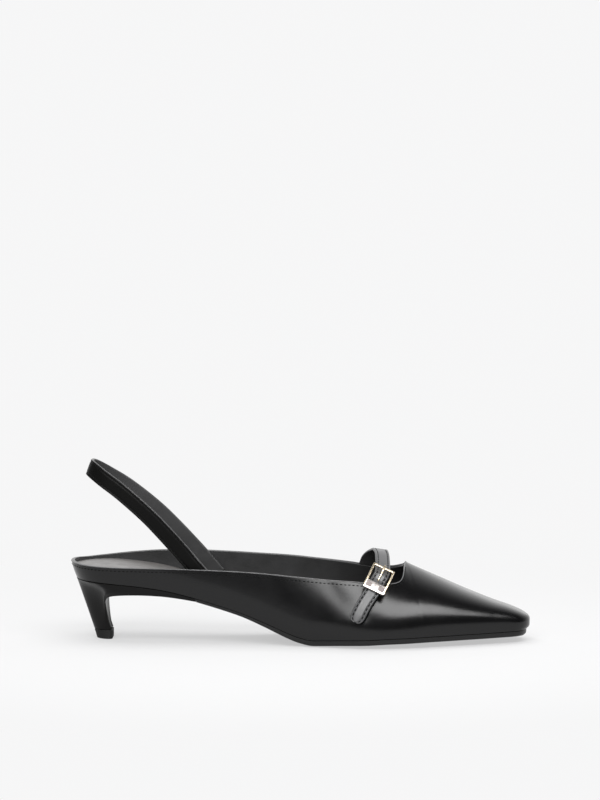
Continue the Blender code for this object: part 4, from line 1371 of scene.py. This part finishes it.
def make_buckle():
    reach = BUCKLE_LENGTH / 2
    half = BUCKLE_WIDTH / 2
    middle = metal_level() + BUCKLE_METAL / 2
    window = (-reach + BUCKLE_METAL, reach - KEEPER_LENGTH, half - BUCKLE_METAL)
    frame_piece = buckle_plate("buckle_frame_gold", -reach, reach, half, window, BUCKLE_METAL, BUCKLE_CORNER)
    frame_piece.matrix_world = buckle_place(middle)
    for finish in (GOLD, PLATE):
        frame_piece.data.materials.append(finish)
    for face in frame_piece.data.polygons:
        face.material_index = int(face.center.x > reach - KEEPER_LENGTH)
    stand_for(frame_piece, "buckle_gold", "buckle_frame")
    make_panels(middle + BUCKLE_METAL / 2)
    side = half - BUCKLE_METAL / 2
    keeper_low = strap_level() - STRAP_THICKNESS / 2 - GAP - HINGE_DIAMETER / 2
    for name, place, level in (
        ("buckle_hinge_bar", HINGE_PLACE, hinge_level()),
        ("buckle_keeper_back", reach - KEEPER_LENGTH / 2, keeper_low),
    ):
        path = [(place, -side, middle), (place, -side, level), (place, side, level), (place, side, middle)]
        bar = wire(name, path, HINGE_DIAMETER / 2)
        bar.matrix_world = buckle_place(0)
        bar.data.materials.append(BRASS)
        stand_for(bar, "buckle_gold")
    radius = PRONG_DIAMETER / 2
    rest = middle + BUCKLE_METAL / 2 + GAP + radius
    low = metal_level() + radius
    corners = [
        Vector((HINGE_PLACE, 0, tab_top() + GAP)),
        Vector((HINGE_PLACE, 0, low - radius)),
        Vector((HINGE_PLACE - 3 * PRONG_BEND * radius, 0, low + PRONG_END * radius)),
        Vector((-reach * PRONG_BEND, 0, low + (rest - low) * PRONG_BEND)),
        Vector((-reach + PRONG_FLAT * BUCKLE_METAL, 0, rest)),
        Vector((-reach - PRONG_END * BUCKLE_METAL, 0, rest)),
    ]
    prong = wire("buckle_prong_gold", curve_through(corners, 6), radius)
    prong.matrix_world = buckle_place(0)
    prong.data.materials.append(GOLD)
    stand_for(prong, "buckle_gold", "buckle_prong")


PANEL_SIZE = 0.0034
PANEL_PLACE = 0.0038
PANEL_PROUD = 0.00004


def make_panels(level):
    """Two plain matt squares etched at the ends of the keeper plate."""
    middle = BUCKLE_LENGTH / 2 - KEEPER_LENGTH / 2
    shape = Matrix.Diagonal((PANEL_SIZE, PANEL_SIZE, PANEL_PROUD, 1))
    for name, side in (("etched_square_low", -1), ("etched_square_high", 1)):
        bm = bmesh.new()
        place = Matrix.Translation((middle, side * PANEL_PLACE, level + PANEL_PROUD / 2))
        bmesh.ops.create_cube(bm, size=1.0, matrix=place @ shape)
        panel = placed(name, mesh_of(bm, name, (ETCHED,)))
        panel.matrix_world = buckle_place(0)
        stand_for(panel, "buckle_gold")


# Section of the leather loop, in half widths and half thicknesses
TAB_SECTION = ((-1, -0.8), (-0.97, -1), (0.97, -1), (1, -0.8), (1, 0.8), (0.97, 1), (-0.97, 1), (-1, 0.8))


def make_tab():
    matrix = buckle_frame_matrix()
    steps = 40
    aim = (wrap_point(BUCKLE_AIM_STATION, BUCKLE_AIM_ROUND) - matrix.translation).length
    depth = tab_top() - GAP
    flat = TAB_THICKNESS / depth
    path, normals, heights = [], [], []
    for i in range(steps + 1):
        walk = i / steps
        along = -1.2 * hinge_level() + (TAB_LENGTH + 1.2 * hinge_level()) * walk
        near = max(0.0, 1 - abs(along - HINGE_PLACE) / (2.4 * hinge_level()))
        share = along / aim
        station = BUCKLE_STATION + (BUCKLE_AIM_STATION - BUCKLE_STATION) * share
        turn = BUCKLE_ROUND + (BUCKLE_AIM_ROUND - BUCKLE_ROUND) * share
        tall = depth * (flat + (1 - flat) * smooth_step(near * 1.3))
        normal = wrap_normal(station, turn)
        path.append(wrap_point(station, turn) + normal * (GAP + tall / 2))
        normals.append(normal)
        heights.append(tall)
    bm = bmesh.new()
    rings = []
    across = matrix.to_3x3() @ Vector((0, 1, 0))
    for point, normal, tall in zip(path, normals, heights):
        rings.append([
            point + across * u * TAB_WIDTH / 2 + normal * v * tall / 2
            for u, v in TAB_SECTION
        ])
    grid = loft(bm, rings)
    bm.faces.new(grid[0])
    bm.faces.new(grid[-1])
    tab = to_object(bm, "buckle_leather_loop", (STRAP_LEATHER,), angle=50)
    stand_for(tab, "strap_leather", "buckle_tab")


# Floor, light and camera

PAPER = (0.925, 0.925, 0.928)
FLOOR_TINT = (0.376, 0.376, 0.378)
FLOOR_GLOW = 0.54
FLOOR_FADE = (0.10, 0.34)


def make_floor():
    """Pale floor that fades into the even backdrop away from the shoe."""
    made, tree, shader = node_material("pale_floor")
    shader.inputs["Base Color"].default_value = (*FLOOR_TINT, 1)
    shader.inputs["Roughness"].default_value = 0.9
    shader.inputs["Specular IOR Level"].default_value = 0.1
    glow = add_node(tree, "ShaderNodeEmission", Strength=1.0)
    glow.inputs["Color"].default_value = (*PAPER, 1)
    place = tree.nodes.new("ShaderNodeTexCoord").outputs["Object"]
    length = tree.nodes.new("ShaderNodeVectorMath")
    length.operation = "LENGTH"
    tree.links.new(place, length.inputs[0])
    fade = tree.nodes.new("ShaderNodeMapRange")
    fade.interpolation_type = "SMOOTHSTEP"
    fade.inputs["From Min"].default_value = FLOOR_FADE[0]
    fade.inputs["From Max"].default_value = FLOOR_FADE[1]
    fade.inputs["To Min"].default_value = FLOOR_GLOW
    tree.links.new(length.outputs["Value"], fade.inputs["Value"])
    mix = tree.nodes.new("ShaderNodeMixShader")
    tree.links.new(fade.outputs["Result"], mix.inputs["Fac"])
    tree.links.new(shader.outputs["BSDF"], mix.inputs[1])
    tree.links.new(glow.outputs["Emission"], mix.inputs[2])
    tree.links.new(mix.outputs["Shader"], tree.nodes["Material Output"].inputs["Surface"])
    bm = bmesh.new()
    bmesh.ops.create_circle(bm, cap_ends=True, segments=96, radius=30.0)
    floor = placed("studio_floor", mesh_of(bm, "studio_floor", (made,)))


def make_world():
    """Even paper white behind the shoe, a dim studio in its reflections."""
    world = bpy.data.worlds.new("studio")
    SCENE.world = world
    world.use_nodes = True
    tree = world.node_tree
    tree.nodes.clear()
    output = tree.nodes.new("ShaderNodeOutputWorld")
    seen = add_node(tree, "ShaderNodeBackground", Strength=1.0)
    seen.inputs["Color"].default_value = (*PAPER, 1)
    lit = add_node(tree, "ShaderNodeBackground", Strength=ROOM_LIGHT)
    way = tree.nodes.new("ShaderNodeSeparateXYZ")
    tree.links.new(tree.nodes.new("ShaderNodeTexCoord").outputs["Generated"], way.inputs["Vector"])
    dim = add_node(tree, "ShaderNodeMapRange", From_Min=0.05, From_Max=0.95, To_Min=0.05, To_Max=1.0)
    dim.interpolation_type = "SMOOTHSTEP"
    tree.links.new(way.outputs["Y"], dim.inputs["Value"])
    tree.links.new(dim.outputs["Result"], lit.inputs["Color"])
    ray = tree.nodes.new("ShaderNodeLightPath").outputs["Is Camera Ray"]
    mix = tree.nodes.new("ShaderNodeMixShader")
    tree.links.new(ray, mix.inputs["Fac"])
    tree.links.new(lit.outputs["Background"], mix.inputs[1])
    tree.links.new(seen.outputs["Background"], mix.inputs[2])
    tree.links.new(mix.outputs["Shader"], output.inputs["Surface"])


ROOM_LIGHT = 1.3

# Soft boxes: place, where each looks, size in metres and power in watts
LIGHTS = (
    ("name", "place", "aim", "size", "power", "mirrored"),
    (
        ("overhead", (0.0, 0.20, 1.20), (0.0, 0.0, 0.0), (1.6, 1.0), 28.0, False),
        ("front_high", (0.32, -0.95, 1.15), (0.0, 0.0, 0.03), (1.7, 0.60), 31.0, True),
        ("side_low", (-0.42, -1.24, 0.76), (0.0, 0.0, 0.02), (0.62, 0.60), 8.6, True),
    ),
)


def make_lights():
    for name, place, aim, size, power, mirrored in LIGHTS[1]:
        data = bpy.data.lights.new(name, "AREA")
        data.shape = "RECTANGLE"
        data.size, data.size_y = size
        data.energy = power
        lamp = placed(name, data)
        lamp.location = place
        lamp.rotation_mode = "QUATERNION"
        lamp.rotation_quaternion = (Vector(aim) - Vector(place)).to_track_quat("-Z", "Y")
        lamp.visible_glossy = mirrored


CAMERA_AZIMUTH = 3.0
CAMERA_ELEVATION = 7.0
CAMERA_DISTANCE = 4.0
CAMERA_AIM = (-0.0002, 0.0, 0.1345)
CAMERA_LENS = 323.8


def make_camera():
    data = bpy.data.cameras.new("photo_camera")
    data.lens = CAMERA_LENS
    data.clip_end = 60.0
    camera = placed("photo_camera", data)
    a, e = math.radians(CAMERA_AZIMUTH), math.radians(CAMERA_ELEVATION)
    back = Vector((math.sin(a) * math.cos(e), -math.cos(a) * math.cos(e), math.sin(e)))
    camera.location = Vector(CAMERA_AIM) + back * CAMERA_DISTANCE
    camera.rotation_mode = "QUATERNION"
    camera.rotation_quaternion = (-back).to_track_quat("-Z", "Y")
    SCENE.camera = camera


SCENE.view_settings.view_transform = "Standard"
make_camera()
make_floor()
make_world()
make_lights()
make_upper()
make_outsole()
make_insole()
make_heel()
make_top_piece()
make_sling()
make_instep_strap()
make_edge_highlight_roll()
make_topline_stitches()
make_tab()
make_buckle()
bpy.context.view_layer.update()
